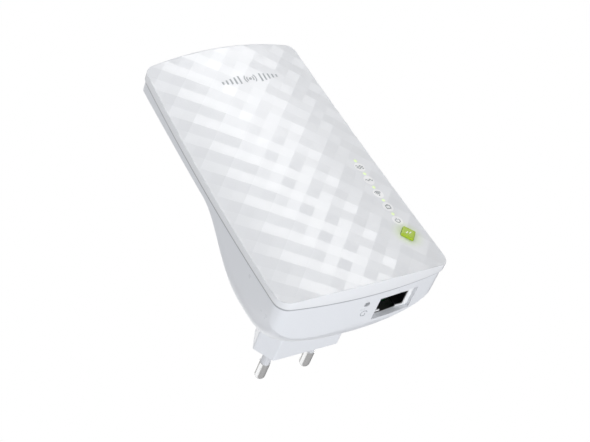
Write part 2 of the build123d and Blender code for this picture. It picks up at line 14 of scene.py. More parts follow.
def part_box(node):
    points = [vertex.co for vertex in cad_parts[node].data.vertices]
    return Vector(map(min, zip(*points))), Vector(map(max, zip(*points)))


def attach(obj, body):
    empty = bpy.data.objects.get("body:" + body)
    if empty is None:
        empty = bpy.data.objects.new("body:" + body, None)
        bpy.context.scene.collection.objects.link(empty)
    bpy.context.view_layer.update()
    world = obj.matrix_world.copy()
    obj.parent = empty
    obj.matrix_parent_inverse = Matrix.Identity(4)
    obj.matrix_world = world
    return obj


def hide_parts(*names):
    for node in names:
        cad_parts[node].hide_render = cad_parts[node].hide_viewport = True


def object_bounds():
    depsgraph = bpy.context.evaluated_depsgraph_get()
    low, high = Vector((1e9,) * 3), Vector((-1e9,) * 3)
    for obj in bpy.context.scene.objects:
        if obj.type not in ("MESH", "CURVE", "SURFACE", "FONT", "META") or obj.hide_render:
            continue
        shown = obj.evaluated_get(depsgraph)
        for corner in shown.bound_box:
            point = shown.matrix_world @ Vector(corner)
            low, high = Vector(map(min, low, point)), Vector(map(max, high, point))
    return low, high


bl_info = {
    "name": "Wifi range extender",
    "version": (1, 0, 0),
    "blender": (4, 5, 0),
    "location": "3D View > Sidebar > Extender",
    "description": "Builds a wall-plug wifi range extender around its packed parts",
    "category": "Object",
}

MM = 0.001
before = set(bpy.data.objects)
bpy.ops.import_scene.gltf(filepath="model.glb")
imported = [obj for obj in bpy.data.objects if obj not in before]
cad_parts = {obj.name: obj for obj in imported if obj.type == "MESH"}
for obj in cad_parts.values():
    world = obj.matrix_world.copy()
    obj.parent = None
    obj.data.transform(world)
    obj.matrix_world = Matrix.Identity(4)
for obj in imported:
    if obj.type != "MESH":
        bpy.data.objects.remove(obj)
CAD_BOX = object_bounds()
COVER_LOW, COVER_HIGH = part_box("front_cover")
JACK_LOW, JACK_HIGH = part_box("ethernet_jack")
BUTTON_LOW, BUTTON_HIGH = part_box("front_button")
LIGHTS_LOW, LIGHTS_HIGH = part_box("status_leds")
LABEL_LOW, LABEL_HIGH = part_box("rating_label")
BUTTON_X = (BUTTON_LOW.x + BUTTON_HIGH.x) / 2
BUTTON_Z = (BUTTON_LOW.z + BUTTON_HIGH.z) / 2
LIGHT_X = (LIGHTS_LOW.x + LIGHTS_HIGH.x) / 2


def size(name, description, millimetres):
    """Length property, given in millimetres."""
    return FloatProperty(name=name, description=description, default=millimetres * MM, min=0.0,
                         precision=5, unit="LENGTH")


def colour(name, description, red, green, blue):
    """Colour property."""
    return FloatVectorProperty(name=name, description=description, default=(red, green, blue), min=0.0,
                               max=1.0, subtype="COLOR")


class ExtenderShape(bpy.types.PropertyGroup):
    """Sizes of the shells and of what is on them."""

    bottom_width: size("Bottom width", "Width that the sides run down to", 65.8)
    top_width: size("Top width", "Width that the sides run up to", 60.0)
    side_bulge: size("Side bulge", "How far each side bows out at mid-height", 0.6)
    top_bow: size("Top bow", "Rise of the top edge's arc", 1.5)
    bottom_bow: size("Bottom bow", "Rise of the bottom edge's arc", 2.8)
    top_corner: size("Top corner", "Radius of the two upper corners", 3.6)
    bottom_corner: size("Bottom corner", "Radius of the two lower corners", 5.0)
    crown: size("Crown", "Rise of the front across its width", 3.9)
    hollow: size("Hollow", "Dip of the front along its height", 1.5)
    skirt: size("Skirt", "Height of the cover's side band", 2.6)
    cover_wall: size("Cover wall", "Thickness of the front cover", 1.7)
    edge_round: size("Edge rounding", "Radius between the front and the side band", 0.35)
    tile: size("Tile", "Side of one facet of the woven relief", 4.375)
    relief: size("Relief", "Height of the woven relief", 0.30)
    seam_gap: size("Seam gap", "Gap between the cover and the rear housing", 0.3)
    seam_step: size("Seam step", "How far the rear housing stands inside the cover's outline", 0.5)
    housing_wall: size("Housing wall", "Thickness of the rear housing", 1.9)
    lip_height: size("Lip height", "Reach of the cover's lip into the rear housing", 2.2)
    lip_wall: size("Lip wall", "Thickness of the cover's lip", 1.0)
    lip_gap: size("Lip gap", "Play between the lip and the rear housing", 0.12)
    thin_depth: size("Slim depth", "Wall face to the back of the slim upper half", 43.2)
    deep_depth: size("Deep depth", "Wall face to the back of the deep lower half", 19.5)
    end_round: size("End rounding", "Radius between the lower end and the back", 14.5)
    vent_count: IntProperty(name="Vents", description="Number of vent slots in the back", default=6, min=1)
    vent_pitch: size("Vent pitch", "Distance from vent to vent", 3.0)
    vent_length: size("Vent length", "Length of a vent", 24.0)
    vent_width: size("Vent width", "Width of a vent", 1.4)
    print_height: size("Print height", "How far printed ink stands on a surface", 0.03)


class ExtenderColours(bpy.types.PropertyGroup):
    """Colours of the visible finishes."""

    cover: colour("Cover", "Glossy plastic of the front cover", 0.84, 0.85, 0.87)
    housing: colour("Housing", "Satin plastic of the rear housing and plug", 0.80, 0.815, 0.845)
    ink: colour("Ink", "Printed marks", 0.27, 0.29, 0.30)
    button: colour("Button", "Lit button", 0.42, 0.58, 0.03)
    glow: colour("Glow", "Status lights", 0.78, 0.92, 0.38)


# ---------------------------------------------------------------- shape rules

SECTION_STEPS = 30
SIDE_OVERRUN = 0.35 * MM


class Shape:
    """Sizes worked out from the properties and the frame."""

    def __init__(self, p):
        self.p = p
        self.top = COVER_HIGH.z
        self.bottom = COVER_LOW.z
        self.height = self.top - self.bottom
        self.middle = (self.top + self.bottom) / 2
        self.front = COVER_LOW.y
        self.apex = self.front + p.hollow
        self.seam_mid = self.front + p.crown + p.skirt + p.hollow
        self.end = self.bottom + p.seam_step
        self.crown_r = ((p.bottom_width / 2) ** 2 + p.crown ** 2) / (2 * p.crown)
        self.hollow_r = ((self.height / 2) ** 2 + p.hollow ** 2) / (2 * p.hollow)
        self.hollow_axis = self.seam_mid - self.hollow_r
        self.lip_inset = p.seam_step + p.housing_wall + p.lip_gap

    def half_width(self, z):
        t = (z - self.bottom) / self.height
        taper = (self.p.top_width - self.p.bottom_width) / 2 * t
        return self.p.bottom_width / 2 + taper + self.p.side_bulge * 4 * t * (1 - t)

    def bent(self, y_mid, z):
        """Depth at a height of a surface that follows the lengthwise hollow."""
        return self.hollow_axis + sqrt((y_mid - self.hollow_axis) ** 2 - (z - self.middle) ** 2)

    def seam(self, z):
        return self.bent(self.seam_mid, z)

    def crowned(self, x, z, inward=0.0):
        """Front surface, or one that lies inward of it."""
        radius = self.crown_r - inward
        return self.bent(self.apex + self.crown_r - sqrt(radius ** 2 - x * x), z)

    def relief(self, x, z):
        """How far the woven facets lie behind the crowned surface."""
        wave = 0.0
        for along in (x + z - self.middle, z - self.middle - x):
            u = (along / sqrt(2) - self.first_crease()) / self.p.tile
            wave += abs((u % 2) - 1)
        return self.p.relief * (1 - wave / 2)

    def first_crease(self):
        """Distance along a diagonal from the panel's middle to a crease."""
        return -45 * MM / sqrt(2) - self.p.tile / 2

    def printed(self, x, z):
        """Surface that the printed marks lie on."""
        return self.crowned(x, z) + self.relief(x, z) - self.p.print_height

    def side(self, z, inset):
        """Half the outline's width, through its two ends and its middle."""
        low_z = self.bottom + inset + self.p.bottom_bow
        high_z = self.top - inset - self.p.top_bow
        low, mid, high = (self.half_width(v) - inset for v in (self.bottom, self.middle, self.top))
        a = (z - low_z) * (z - self.middle) / ((high_z - low_z) * (high_z - self.middle))
        b = (z - low_z) * (z - high_z) / ((self.middle - low_z) * (self.middle - high_z))
        c = (z - self.middle) * (z - high_z) / ((low_z - self.middle) * (low_z - high_z))
        return high * a + mid * b + low * c

    def corner(self, inset, at_top):
        """Centre and radius of a rounded corner, with its end arc's centre height and radius."""
        bow = self.p.top_bow if at_top else self.p.bottom_bow
        end = self.top - inset if at_top else self.bottom + inset
        chord = self.half_width(self.top if at_top else self.bottom) - inset
        end_r = (chord ** 2 + bow ** 2) / (2 * bow)
        away = 1 if at_top else -1
        axis_z = end - away * end_r
        radius = max((self.p.top_corner if at_top else self.p.bottom_corner) - inset, 0.6 * MM)
        z = end - away * radius
        for _ in range(8):
            x = self.side(z, inset) - radius
            z = axis_z + away * sqrt((end_r - radius) ** 2 - x * x)
        return x, z, radius, axis_z, end_r

    def outline(self, inset=0.0):
        """Points of the cover's outline in X and Z, anticlockwise from the bottom's middle."""
        low_x, low_z, low_r, low_axis, low_end_r = self.corner(inset, False)
        high_x, high_z, high_r, high_axis, high_end_r = self.corner(inset, True)
        low_turn = atan2(low_z - low_axis, low_x)
        high_turn = atan2(high_z - high_axis, high_x)
        right = arc(0, low_axis, low_end_r, -pi / 2, low_turn, 22)
        right += arc(low_x, low_z, low_r, low_turn, 0.03, 9)
        steps = 40
        for i in range(steps):
            z = low_z + (high_z - low_z) * i / steps
            right.append((self.side(z, inset), z))
        right += arc(high_x, high_z, high_r, 0.0, high_turn, 9)
        right += arc(0, high_axis, high_end_r, high_turn, pi / 2, 22)
        left = [(-x, z) for x, z in reversed(right[1:])]
        return right + [(0.0, self.top - inset)] + left

    def back(self, z):
        """Back surface of the rear housing, without its end rounding."""
        ramp_top, ramp_bottom, ramp_power = 36 * MM, 3 * MM, 1.2
        s = min(max((ramp_top - z) / (ramp_top - ramp_bottom), 0.0), 1.0) ** ramp_power
        return -self.p.thin_depth + (self.p.thin_depth - self.p.deep_depth) * s * s * (3 - 2 * s)

    def section(self, z, inset):
        """Half of a horizontal section of the rear housing, from the seam to the middle of its back."""
        p = self.p
        low = self.end + inset
        radius = p.end_round - inset
        back = self.back(z + inset) - inset
        if z < low + radius:
            k = min((low + radius - z) / radius, 1.0)
            back -= radius * (1 - sqrt(1 - k * k))
        front = self.front + p.crown + p.skirt
        share = (self.back(z) + p.thin_depth) / (p.thin_depth - p.deep_depth)
        thin, deep, end = 16.0, 4.0, 2.0
        power = thin + (deep - thin) * share ** 0.35
        if z < 0:
            power += (end - power) * (z / low) ** 2
        flat = self.half_width(z) - p.seam_step - inset
        rim = self.seam(max(z, self.bottom)) + p.seam_gap - inset * 6
        points = [(flat, rim)]
        for i in range(1, SECTION_STEPS):
            t = pi / 2 * i / SECTION_STEPS
            x = (flat + SIDE_OVERRUN) * cos(t) ** (2 / power)
            y = front + (back - front) * sin(t) ** (2 / power)
            points.append((min(x, flat), max(y, rim + 0.05 * MM * i)))
        return points + [(0.0, back)]

    def hull_heights(self, inset):
        """Heights of the sections: close together round the end and up the ramp."""
        low = self.end + inset
        radius = self.p.end_round - inset
        heights = [low + radius * (1 - cos(pi / 2 * i / 18)) for i in range(19)]
        step, ramp_end = 1.1 * MM, 39 * MM
        count = ceil((ramp_end - heights[-1]) / step)
        heights += [heights[-1] + step * (i + 1) for i in range(count)]
        rest = self.top + 2 * MM - inset - heights[-1]
        return [low - 2 * MM] + heights + [heights[-1] + rest * (i + 1) / 10 for i in range(10)]


def arc(x, z, radius, start, end, steps):
    """Points round a centre, without the last one."""
    turns = [start + (end - start) * i / steps for i in range(steps)]
    return [(x + radius * cos(a), z + radius * sin(a)) for a in turns]


# ---------------------------------------------------------------- mesh tools

def new_piece(name, mesh, *materials):
    """Object at the origin that holds a mesh."""
    piece = bpy.data.objects.new(name, mesh)
    bpy.context.scene.collection.objects.link(piece)
    for material in materials:
        mesh.materials.append(material)
    return piece


def mesh_of(bm, name, sharp=30.0):
    """Mesh with smooth faces, split where two faces meet more sharply than the angle in degrees."""
    for edge in bm.edges:
        edge.smooth = edge.is_manifold and edge.calc_face_angle(0.0) < radians(sharp)
    for face in bm.faces:
        face.smooth = True
    mesh = bpy.data.meshes.new(name)
    bm.to_mesh(mesh)
    bm.free()
    return mesh


def loft(bm, rings, closed=True):
    """Faces between rings of equally many points; returns the rings' vertices."""
    loops = [[bm.verts.new(point) for point in ring] for ring in rings]
    for lower, upper in zip(loops, loops[1:]):
        count = len(lower)
        for i in range(count if closed else count - 1):
            j = (i + 1) % count
            bm.faces.new((lower[i], lower[j], upper[j], upper[i]))
    return loops


def capped(rings):
    """Closed solid through rings, facing outwards."""
    bm = bmesh.new()
    loops = loft(bm, rings)
    bm.faces.new(loops[0])
    bm.faces.new(loops[-1])
    bmesh.ops.recalc_face_normals(bm, faces=bm.faces)
    return bm


def prism(points, y0, y1):
    """Closed solid from an outline in X and Z."""
    return capped([[(x, y, z) for x, z in points] for y in (y0, y1)])


def block(low, high):
    """Closed box between two corners."""
    corners = [(low[0], low[2]), (high[0], low[2]), (high[0], high[2]), (low[0], high[2])]
    return prism(corners, low[1], high[1])


def bake(piece):
    """Replace a piece's mesh by what its modifiers make of it."""
    graph = bpy.context.evaluated_depsgraph_get()
    graph.update()
    mesh = bpy.data.meshes.new_from_object(piece.evaluated_get(graph), preserve_all_data_layers=True,
                                           depsgraph=graph)
    piece.modifiers.clear()
    old, piece.data = piece.data, mesh
    mesh.name = piece.name
    bpy.data.meshes.remove(old)
    return piece


def combine(piece, cutters, operation):
    """Cut a piece with closed bmeshes, or keep what they share."""
    tools = []
    for i, cutter in enumerate(cutters):
        mesh = bpy.data.meshes.new("tool")
        cutter.to_mesh(mesh)
        cutter.free()
        tools.append(new_piece(f"tool_{i}", mesh))
        modifier = piece.modifiers.new("cut", "BOOLEAN")
        modifier.operation = operation
        modifier.solver = "EXACT"
        modifier.object = tools[-1]
    bake(piece)
    for tool in tools:
        mesh = tool.data
        bpy.data.objects.remove(tool)
        bpy.data.meshes.remove(mesh)
    return piece


def reshade(piece, sharp, keep_flat=None, merge=0.0005 * MM):
    """Smooth faces and sharp edges by angle; faces that the test picks stay flat."""
    bm = bmesh.new()
    bm.from_mesh(piece.data)
    bmesh.ops.remove_doubles(bm, verts=bm.verts, dist=merge)
    for face in bm.faces:
        face.smooth = not (keep_flat and keep_flat(face))
    for edge in bm.edges:
        edge.smooth = edge.is_manifold and edge.calc_face_angle(0.0) < radians(sharp)
    bm.to_mesh(piece.data)
    bm.free()
    return piece


def finished(piece, body, slot, *nodes):
    """Put a piece on its body and let it stand for its nodes; the slot is not used."""
    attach(piece, body)
    if nodes:
        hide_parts(*nodes)
    return piece


# ---------------------------------------------------------------- nodes

def titled(key):
    """Name of a node's socket from a keyword."""
    return key.replace("_", " ").title().replace("Ior", "IOR")


class Graph:
    """Adds nodes and links to a node tree."""

    def __init__(self, tree):
        self.nodes, self.links = tree.nodes, tree.links

    def node(self, kind, **settings):
        node = self.nodes.new(kind)
        for key, value in settings.items():
            setattr(node, key, value)
        return node

    def feed(self, value, socket):
        """Link a socket to another one, or give it a plain value."""
        if isinstance(value, bpy.types.NodeSocket):
            self.links.new(value, socket)
        else:
            socket.default_value = value

    def math(self, operation, *values):
        """Math node; its values are sockets or numbers."""
        node = self.node("ShaderNodeMath", operation=operation)
        for socket, value in zip(node.inputs, values):
            self.feed(value, socket)
        return node.outputs[0]

    def split(self, vector):
        """Coordinates of a vector, by name."""
        node = self.node("ShaderNodeSeparateXYZ")
        self.feed(vector, node.inputs[0])
        return node.outputs

    def remap(self, value, low, high, to_low=0.0, to_high=1.0, smooth=False):
        node = self.node("ShaderNodeMapRange", interpolation_type="SMOOTHSTEP" if smooth else "LINEAR")
        for key, number in (("From Min", low), ("From Max", high), ("To Min", to_low), ("To Max", to_high)):
            node.inputs[key].default_value = number
        self.feed(value, node.inputs["Value"])
        return node.outputs["Result"]

    def mixed(self, share, colour_a, colour_b):
        """First colour, with the second one where the share is high."""
        node = self.node("ShaderNodeMix", data_type="RGBA")
        for key, value in (("A", colour_a), ("B", (*colour_b, 1.0)), ("Factor", share)):
            self.feed(value, node.inputs[key])
        return node.outputs["Result"]


class Tree(Graph):
    """Geometry node tree with named inputs, ended by Realize Instances and Set Material."""

    def __init__(self, name, **sockets):
        self.group = bpy.data.node_groups.new(name, "GeometryNodeTree")
        super().__init__(self.group)
        face = self.group.interface
        for key, kind in {"geometry": "Geometry", **sockets, "material": "Material"}.items():
            face.new_socket(titled(key), in_out="INPUT", socket_type=f"NodeSocket{kind}")
        face.new_socket("Geometry", in_out="OUTPUT", socket_type="NodeSocketGeometry")
        self.inputs = self.node("NodeGroupInput").outputs

    def close(self, geometry):
        """Realize, set the material and end the tree."""
        realize = self.node("GeometryNodeRealizeInstances")
        paint = self.node("GeometryNodeSetMaterial")
        self.feed(geometry, realize.inputs["Geometry"])
        self.feed(realize.outputs[0], paint.inputs["Geometry"])
        self.feed(self.inputs["Material"], paint.inputs["Material"])
        self.feed(paint.outputs[0], self.node("NodeGroupOutput").inputs[0])
        return self.group


def use_tree(piece, group, **values):
    """Run a tree on a piece with its inputs set by identifier, and keep the plain mesh."""
    modifier = piece.modifiers.new(group.name, "NODES")
    modifier.node_group = group
    for key, value in values.items():
        modifier[group.interface.items_tree[titled(key)].identifier] = value
    return bake(piece)


def woven_relief_tree():
    """Sinks the front's points into square facets that run along both diagonals."""
    tree = Tree("woven_relief", tile="Float", relief="Float", middle="Float", first_crease="Float")
    inputs = tree.inputs
    place = tree.split(tree.node("GeometryNodeInputPosition").outputs[0])
    height = tree.math("SUBTRACT", place["Z"], inputs["Middle"])
    waves = []
    for operation in ("ADD", "SUBTRACT"):
        along = tree.math(operation, height, place["X"])
        along = tree.math("SUBTRACT", tree.math("DIVIDE", along, sqrt(2)), inputs["First Crease"])
        wave = tree.math("PINGPONG", along, inputs["Tile"])
        waves.append(tree.math("DIVIDE", wave, inputs["Tile"]))
    both = tree.math("MULTIPLY", tree.math("ADD", *waves), 0.5)
    offset = tree.node("ShaderNodeCombineXYZ")
    tree.feed(tree.math("MULTIPLY", both, inputs["Relief"]), offset.inputs["Y"])
    front = tree.node("GeometryNodeInputNamedAttribute", data_type="FLOAT")
    front.inputs["Name"].default_value = "front"
    move = tree.node("GeometryNodeSetPosition")
    tree.feed(inputs["Geometry"], move.inputs["Geometry"])
    tree.feed(tree.math("GREATER_THAN", front.outputs["Attribute"], 0.5), move.inputs["Selection"])
    tree.feed(offset.outputs[0], move.inputs["Offset"])
    return tree.close(move.outputs[0])


def row_tree():
    """Repeats a piece in a straight row."""
    tree = Tree("straight_row", count="Int", step="Vector")
    row = tree.node("GeometryNodeMeshLine", mode="OFFSET", count_mode="TOTAL")
    tree.feed(tree.inputs["Count"], row.inputs["Count"])
    tree.feed(tree.inputs["Step"], row.inputs["Offset"])
    copies = tree.node("GeometryNodeInstanceOnPoints")
    tree.feed(row.outputs[0], copies.inputs["Points"])
    tree.feed(tree.inputs["Geometry"], copies.inputs["Instance"])
    return tree.close(copies.outputs[0])


# ---------------------------------------------------------------- finishes

class Finish(Graph):
    """Material made of one shader and a few procedural layers on object coordinates."""

    def __init__(self, name, base, roughness, metallic=0.0, **sockets):
        self.material = bpy.data.materials.new(name)
        self.material.use_nodes = True
        super().__init__(self.material.node_tree)
        self.shader = self.nodes["Principled BSDF"]
        self.base = (*base, 1.0)
        for key, value in {"base_color": self.base, "roughness": roughness, "metallic": metallic,
                           **sockets}.items():
            self.set(titled(key), value)
        self.place = self.node("ShaderNodeTexCoord").outputs["Object"]
        self.height = None

    def set(self, name, value):
        self.shader.inputs[name].default_value = value

    def texture(self, kind, size_mm, stretch=None, **settings):
        """Texture whose features are about this many millimetres across."""
        node = self.node(kind, **settings)
        node.inputs["Scale"].default_value = 1 / (size_mm * MM)
        place = self.place
        if stretch:
            mapping = self.node("ShaderNodeMapping")
            mapping.inputs["Scale"].default_value = stretch
            self.feed(place, mapping.inputs["Vector"])
            place = mapping.outputs[0]
        self.feed(place, node.inputs["Vector"])
        return node

    def noise(self, size_mm, detail=3.0, stretch=None):
        node = self.texture("ShaderNodeTexNoise", size_mm, stretch)
        node.inputs["Detail"].default_value = detail
        return node.outputs["Fac"]

    def cells(self, size_mm, feature="F1"):
        return self.texture("ShaderNodeTexVoronoi", size_mm, feature=feature).outputs["Distance"]

    def bands(self, size_mm, axis):
        """Even bands across an axis, with this period."""
        turns = self.math("MULTIPLY", self.split(self.place)[axis], 2 * pi / (size_mm * MM))
        return self.math("MULTIPLY_ADD", self.math("SINE", turns), 0.5, 0.5)

    def tint(self, share, other):
        """Mix another colour into the base where the share is high."""
        socket = self.shader.inputs["Base Color"]
        before = socket.links[0].from_socket if socket.links else self.base
        self.feed(self.mixed(share, before, other), socket)

    def gloss(self, value, low, high):
        """Roughness that varies between two values."""
        self.feed(self.remap(value, 0.25, 0.75, low, high), self.shader.inputs["Roughness"])

    def bump(self, value, depth_mm):
        """Surface texture of this depth."""
        node = self.node("ShaderNodeBump")
        node.inputs["Strength"].default_value = 1.0
        node.inputs["Distance"].default_value = depth_mm * MM
        self.feed(value, node.inputs["Height"])
        if self.height:
            self.feed(self.height, node.inputs["Normal"])
        self.height = node.outputs["Normal"]
        self.feed(self.height, self.shader.inputs["Normal"])

    def spot(self, x, z, inner_mm, outer_mm):
        """Share that is 1 near a point of X and Z and fades to 0."""
        far = self.math("SQRT", self.math("ADD", self.math("MULTIPLY", x, x), self.math("MULTIPLY", z, z)))
        return self.remap(far, outer_mm * MM, inner_mm * MM, smooth=True)

    def light(self, share, glow, strength):
        """Emission of one colour, where the share is high."""
        self.set("Emission Color", (*glow, 1.0))
        self.feed(self.math("MULTIPLY", share, strength), self.shader.inputs["Emission Strength"])


def moulded(name, base, low, high, texture_mm=0.35, depth_mm=0.002, **sockets):
    """Moulded plastic: soft flow marks, fine texture and uneven gloss."""
    made = Finish(name, base, (low + high) / 2, **sockets)
    made.tint(made.math("MULTIPLY", made.noise(18, 2.0), 0.06), tuple(c * 0.8 for c in base))
    made.gloss(made.noise(6, 4.0), low, high)
    made.bump(made.noise(texture_mm, 2.0), depth_mm)
    return made


LIGHT_COUNT = 5
LIGHT_PITCH = (LIGHTS_HIGH.z - LIGHTS_LOW.z - 0.8 * MM) / (LIGHT_COUNT - 1)
FIRST_LIGHT = LIGHTS_HIGH.z - 0.4 * MM
ICON_DROP = 3.0 * MM
LAMP_SPOT_MM, FIELD_SPOT_MM, HALO_SPOT_MM = (0.15, 0.95), (1.9, 2.2), (1.5, 7.0)


def cover_finish(colours):
    """Glossy white cover: glow of the lights, a pale field at each icon and a green halo at the button."""
    made = moulded("cover_gloss", colours.cover, 0.19, 0.26, 0.6, 0.0010, coat_weight=0.34,
                   coat_roughness=0.08, subsurface_weight=0.06)
    made.set("Subsurface Radius", (1.2 * MM, 1.2 * MM, 1.3 * MM))
    place = made.split(made.place)
    across = made.math("SUBTRACT", place["X"], LIGHT_X)

    def along(first):
        """Height above the nearest place of a row that runs down from the first one."""
        steps = made.math("DIVIDE", made.math("SUBTRACT", first, place["Z"]), LIGHT_PITCH)
        steps = made.math("MINIMUM", made.math("ROUND", steps), LIGHT_COUNT - 1.0)
        drop = made.math("MULTIPLY", made.math("MAXIMUM", steps, 0.0), LIGHT_PITCH)
        return made.math("SUBTRACT", place["Z"], made.math("SUBTRACT", first, drop))

    lamp = made.spot(across, along(FIRST_LIGHT), *LAMP_SPOT_MM)
    field = made.spot(across, along(FIRST_LIGHT - ICON_DROP), *FIELD_SPOT_MM)
    up = made.math("SUBTRACT", place["Z"], BUTTON_Z)
    halo = made.spot(across, up, *HALO_SPOT_MM)
    made.tint(field, (0.985, 0.985, 0.99))
    made.tint(made.math("MULTIPLY", halo, 0.32), colours.button)
    made.tint(made.math("MULTIPLY", lamp, 0.85), colours.glow)
    made.light(made.math("ADD", made.math("MULTIPLY", lamp, 0.6), made.math("MULTIPLY", halo, 0.16)),
               (0.62, 0.90, 0.30), 0.5)
    return made.material


SHADOW_END, SHADOW_FADE = 0.45 * MM, 0.15 * MM


def housing_finish(colours, shape):
    """Satin plastic with a dark line of painted shadow along the seam."""
    made = moulded("housing_satin", colours.housing, 0.26, 0.36, coat_weight=0.15, coat_roughness=0.2)
    place = made.split(made.place)
    up = made.math("SUBTRACT", place["Z"], shape.middle)
    reach = made.math("SUBTRACT", (shape.seam_mid - shape.hollow_axis) ** 2, made.math("MULTIPLY", up, up))
    depth = made.math("SUBTRACT", place["Y"], made.math("SQRT", reach))
    edge = shape.hollow_axis + shape.p.seam_gap + shape.p.seam_step
    # painted shadow: darkens the housing just behind the seam, where the gap's shade falls
    seam_shadow = made.remap(depth, edge + SHADOW_END, edge + SHADOW_FADE, smooth=True)
    made.tint(made.math("MULTIPLY", seam_shadow, 0.75), (0.26, 0.27, 0.29))
    return made.material


def socket_finish():
    """Network socket: pale face, with painted shade making the inside nearly black just behind it."""
    made = moulded("socket_plastic", (0.88, 0.885, 0.89), 0.30, 0.40)
    # painted shade: the port's inside turns nearly black a little behind its face
    inside = made.remap(made.split(made.place)["Z"], JACK_LOW.z + 0.25 * MM, JACK_LOW.z + 0.45 * MM)
    made.tint(inside, (0.006, 0.006, 0.007))
    return made.material


def metal(name, base, low, high, grain=(1, 1, 1), grain_mm=0.4, depth_mm=0.004):
    """Metal with drawn grain and faint stains."""
    made = Finish(name, base, (low + high) / 2, 1.0)
    made.tint(made.math("MULTIPLY", made.noise(2.5, 5.0), 0.25), tuple(c * 0.72 for c in base))
    made.gloss(made.noise(1.2, 4.0), low, high)
    made.bump(made.noise(grain_mm, 3.0, grain), depth_mm)
    return made


def board_finish():
    """Solder mask over fibreglass: weave, copper tracks showing through, pale pads."""
    made = Finish("circuit_board", (0.012, 0.16, 0.055), 0.32, coat_weight=0.4, coat_roughness=0.15)
    tracks = made.remap(made.cells(3.2, "DISTANCE_TO_EDGE"), 0.0001, 0.00016)
    made.tint(made.math("MULTIPLY", made.math("SUBTRACT", 1.0, tracks), 0.7), (0.04, 0.30, 0.12))
    pads = made.remap(made.cells(2.4), 0.00055, 0.00045)
    made.tint(pads, (0.72, 0.70, 0.62))
    weave = made.math("MULTIPLY", made.bands(0.5, "X"), made.bands(0.5, "Z"))
    made.bump(weave, 0.01)
    return made.material


def winding_finish():
    """Yellow tape round a winding, with the turns' edges."""
    made = Finish("winding_tape", (0.75, 0.55, 0.06), 0.35)
    made.tint(made.remap(made.bands(3.0, "Y"), 0.9, 1.0), (0.32, 0.14, 0.03))
    made.bump(made.bands(0.6, "Y"), 0.03)
    made.gloss(made.noise(1.5), 0.28, 0.45)
    return made.material


def can_finish():
    """Capacitor: dark shrink sleeve along its side with a pale stripe."""
    made = Finish("capacitor_sleeve", (0.012, 0.018, 0.045), 0.28, coat_weight=0.3)
    made.tint(made.remap(made.bands(9.0, "X"), 0.93, 0.97), (0.55, 0.57, 0.60))
    made.gloss(made.noise(1.0), 0.22, 0.4)
    made.bump(made.noise(0.5), 0.006)
    return made.material


def label_finish():
    """Blank foil label with a fine crosswise grain."""
    made = Finish("label_film", (0.70, 0.71, 0.72), 0.38, 0.35)
    made.bump(made.noise(0.15, 2.0, (0.1, 1, 1)), 0.003)
    made.gloss(made.noise(2.5), 0.33, 0.46)
    return made.material


def clear_finish(name, tone, roughness):
    """Clear or translucent plastic."""
    made = Finish(name, tone, roughness, transmission_weight=0.85, ior=1.49)
    made.gloss(made.noise(1.5), roughness * 0.7, roughness * 1.4)
    made.bump(made.noise(0.8), 0.004)
    return made.material


def inner_finishes():
    """Finish of each CAD node that keeps its own shape."""
    made = (
        (moulded("chip_epoxy", (0.018, 0.018, 0.020), 0.45, 0.6, 0.12, 0.006).material,
         "network_processor radio_chip memory_chip network_transformer bridge_rectifier power_controller"),
        (moulded("dark_plastic", (0.035, 0.035, 0.038), 0.35, 0.5).material,
         "button_switch reset_switch button_plunger reset_plunger"),
        (metal("tinned_sheet", (0.74, 0.75, 0.76), 0.22, 0.36, (1, 1, 0.05)).material,
         "shield_can clock_crystal antenna_left antenna_right"),
        (metal("zinc_screw", (0.62, 0.63, 0.65), 0.25, 0.4).material, "main_board_screws power_board_screws"),
        (metal("solder", (0.70, 0.71, 0.72), 0.28, 0.45, grain_mm=0.8, depth_mm=0.02).material,
         "pin_solder_joints"),
        (metal("gold_contact", (0.86, 0.66, 0.28), 0.18, 0.3, (1, 1, 0.1)).material, "board_link_pins"),
        (moulded("ferrite", (0.055, 0.055, 0.058), 0.55, 0.75, 0.2, 0.015).material,
         "transformer_core input_choke"),
        (moulded("ceramic_blue", (0.03, 0.12, 0.42), 0.18, 0.3, 1.5, 0.02).material, "suppression_capacitor"),
        (moulded("resistor_coat", (0.16, 0.33, 0.22), 0.4, 0.6, 0.8, 0.02).material, "fusible_resistor"),
        (moulded("lead_sheath", (0.03, 0.03, 0.032), 0.4, 0.55, 0.4, 0.01).material,
         "antenna_lead_left antenna_lead_right"),
        (moulded("light_lens", (0.90, 0.88, 0.62), 0.12, 0.2).material, "status_leds"),
        (board_finish(), "main_board power_board"),
        (can_finish(), "input_capacitors output_capacitors"),
        (winding_finish(), "transformer_winding"),
        (clear_finish("clear_guide", (0.93, 0.95, 0.96), 0.08), "light_guide"),
        (clear_finish("clear_film", (0.85, 0.87, 0.84), 0.3), "insulation_sheet"),
        (label_finish(), "rating_label"),
    )
    return [(material, nodes.split()) for material, nodes in made]


def paint(node, material):
    """Give a CAD node its finish."""
    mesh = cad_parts[node].data
    mesh.materials.clear()
    mesh.materials.append(material)


# ---------------------------------------------------------------- front cover

HOLE_HALF, HOLE_CORNER = 2.45 * MM, 0.75 * MM
WINDOW_RADIUS, WINDOW_SKIN = 1.0 * MM, 0.75 * MM


def cut_along_facets(bm, shape):
    """Cut every face along the creases of both diagonals."""
    reach = (shape.height + shape.p.bottom_width) / 2 / sqrt(2)
    start = shape.first_crease()
    first = ceil((-reach - start) / shape.p.tile)
    for lean in (1, -1):
        normal = Vector((lean, 0, 1)).normalized()
        i = first
        while start + i * shape.p.tile < reach:
            place = Vector((0, 0, shape.middle)) + normal * (start + i * shape.p.tile)
            everything = bm.verts[:] + bm.edges[:] + bm.faces[:]
            bmesh.ops.bisect_plane(bm, geom=everything, plane_co=place, plane_no=normal, dist=1e-7)
            i += 1


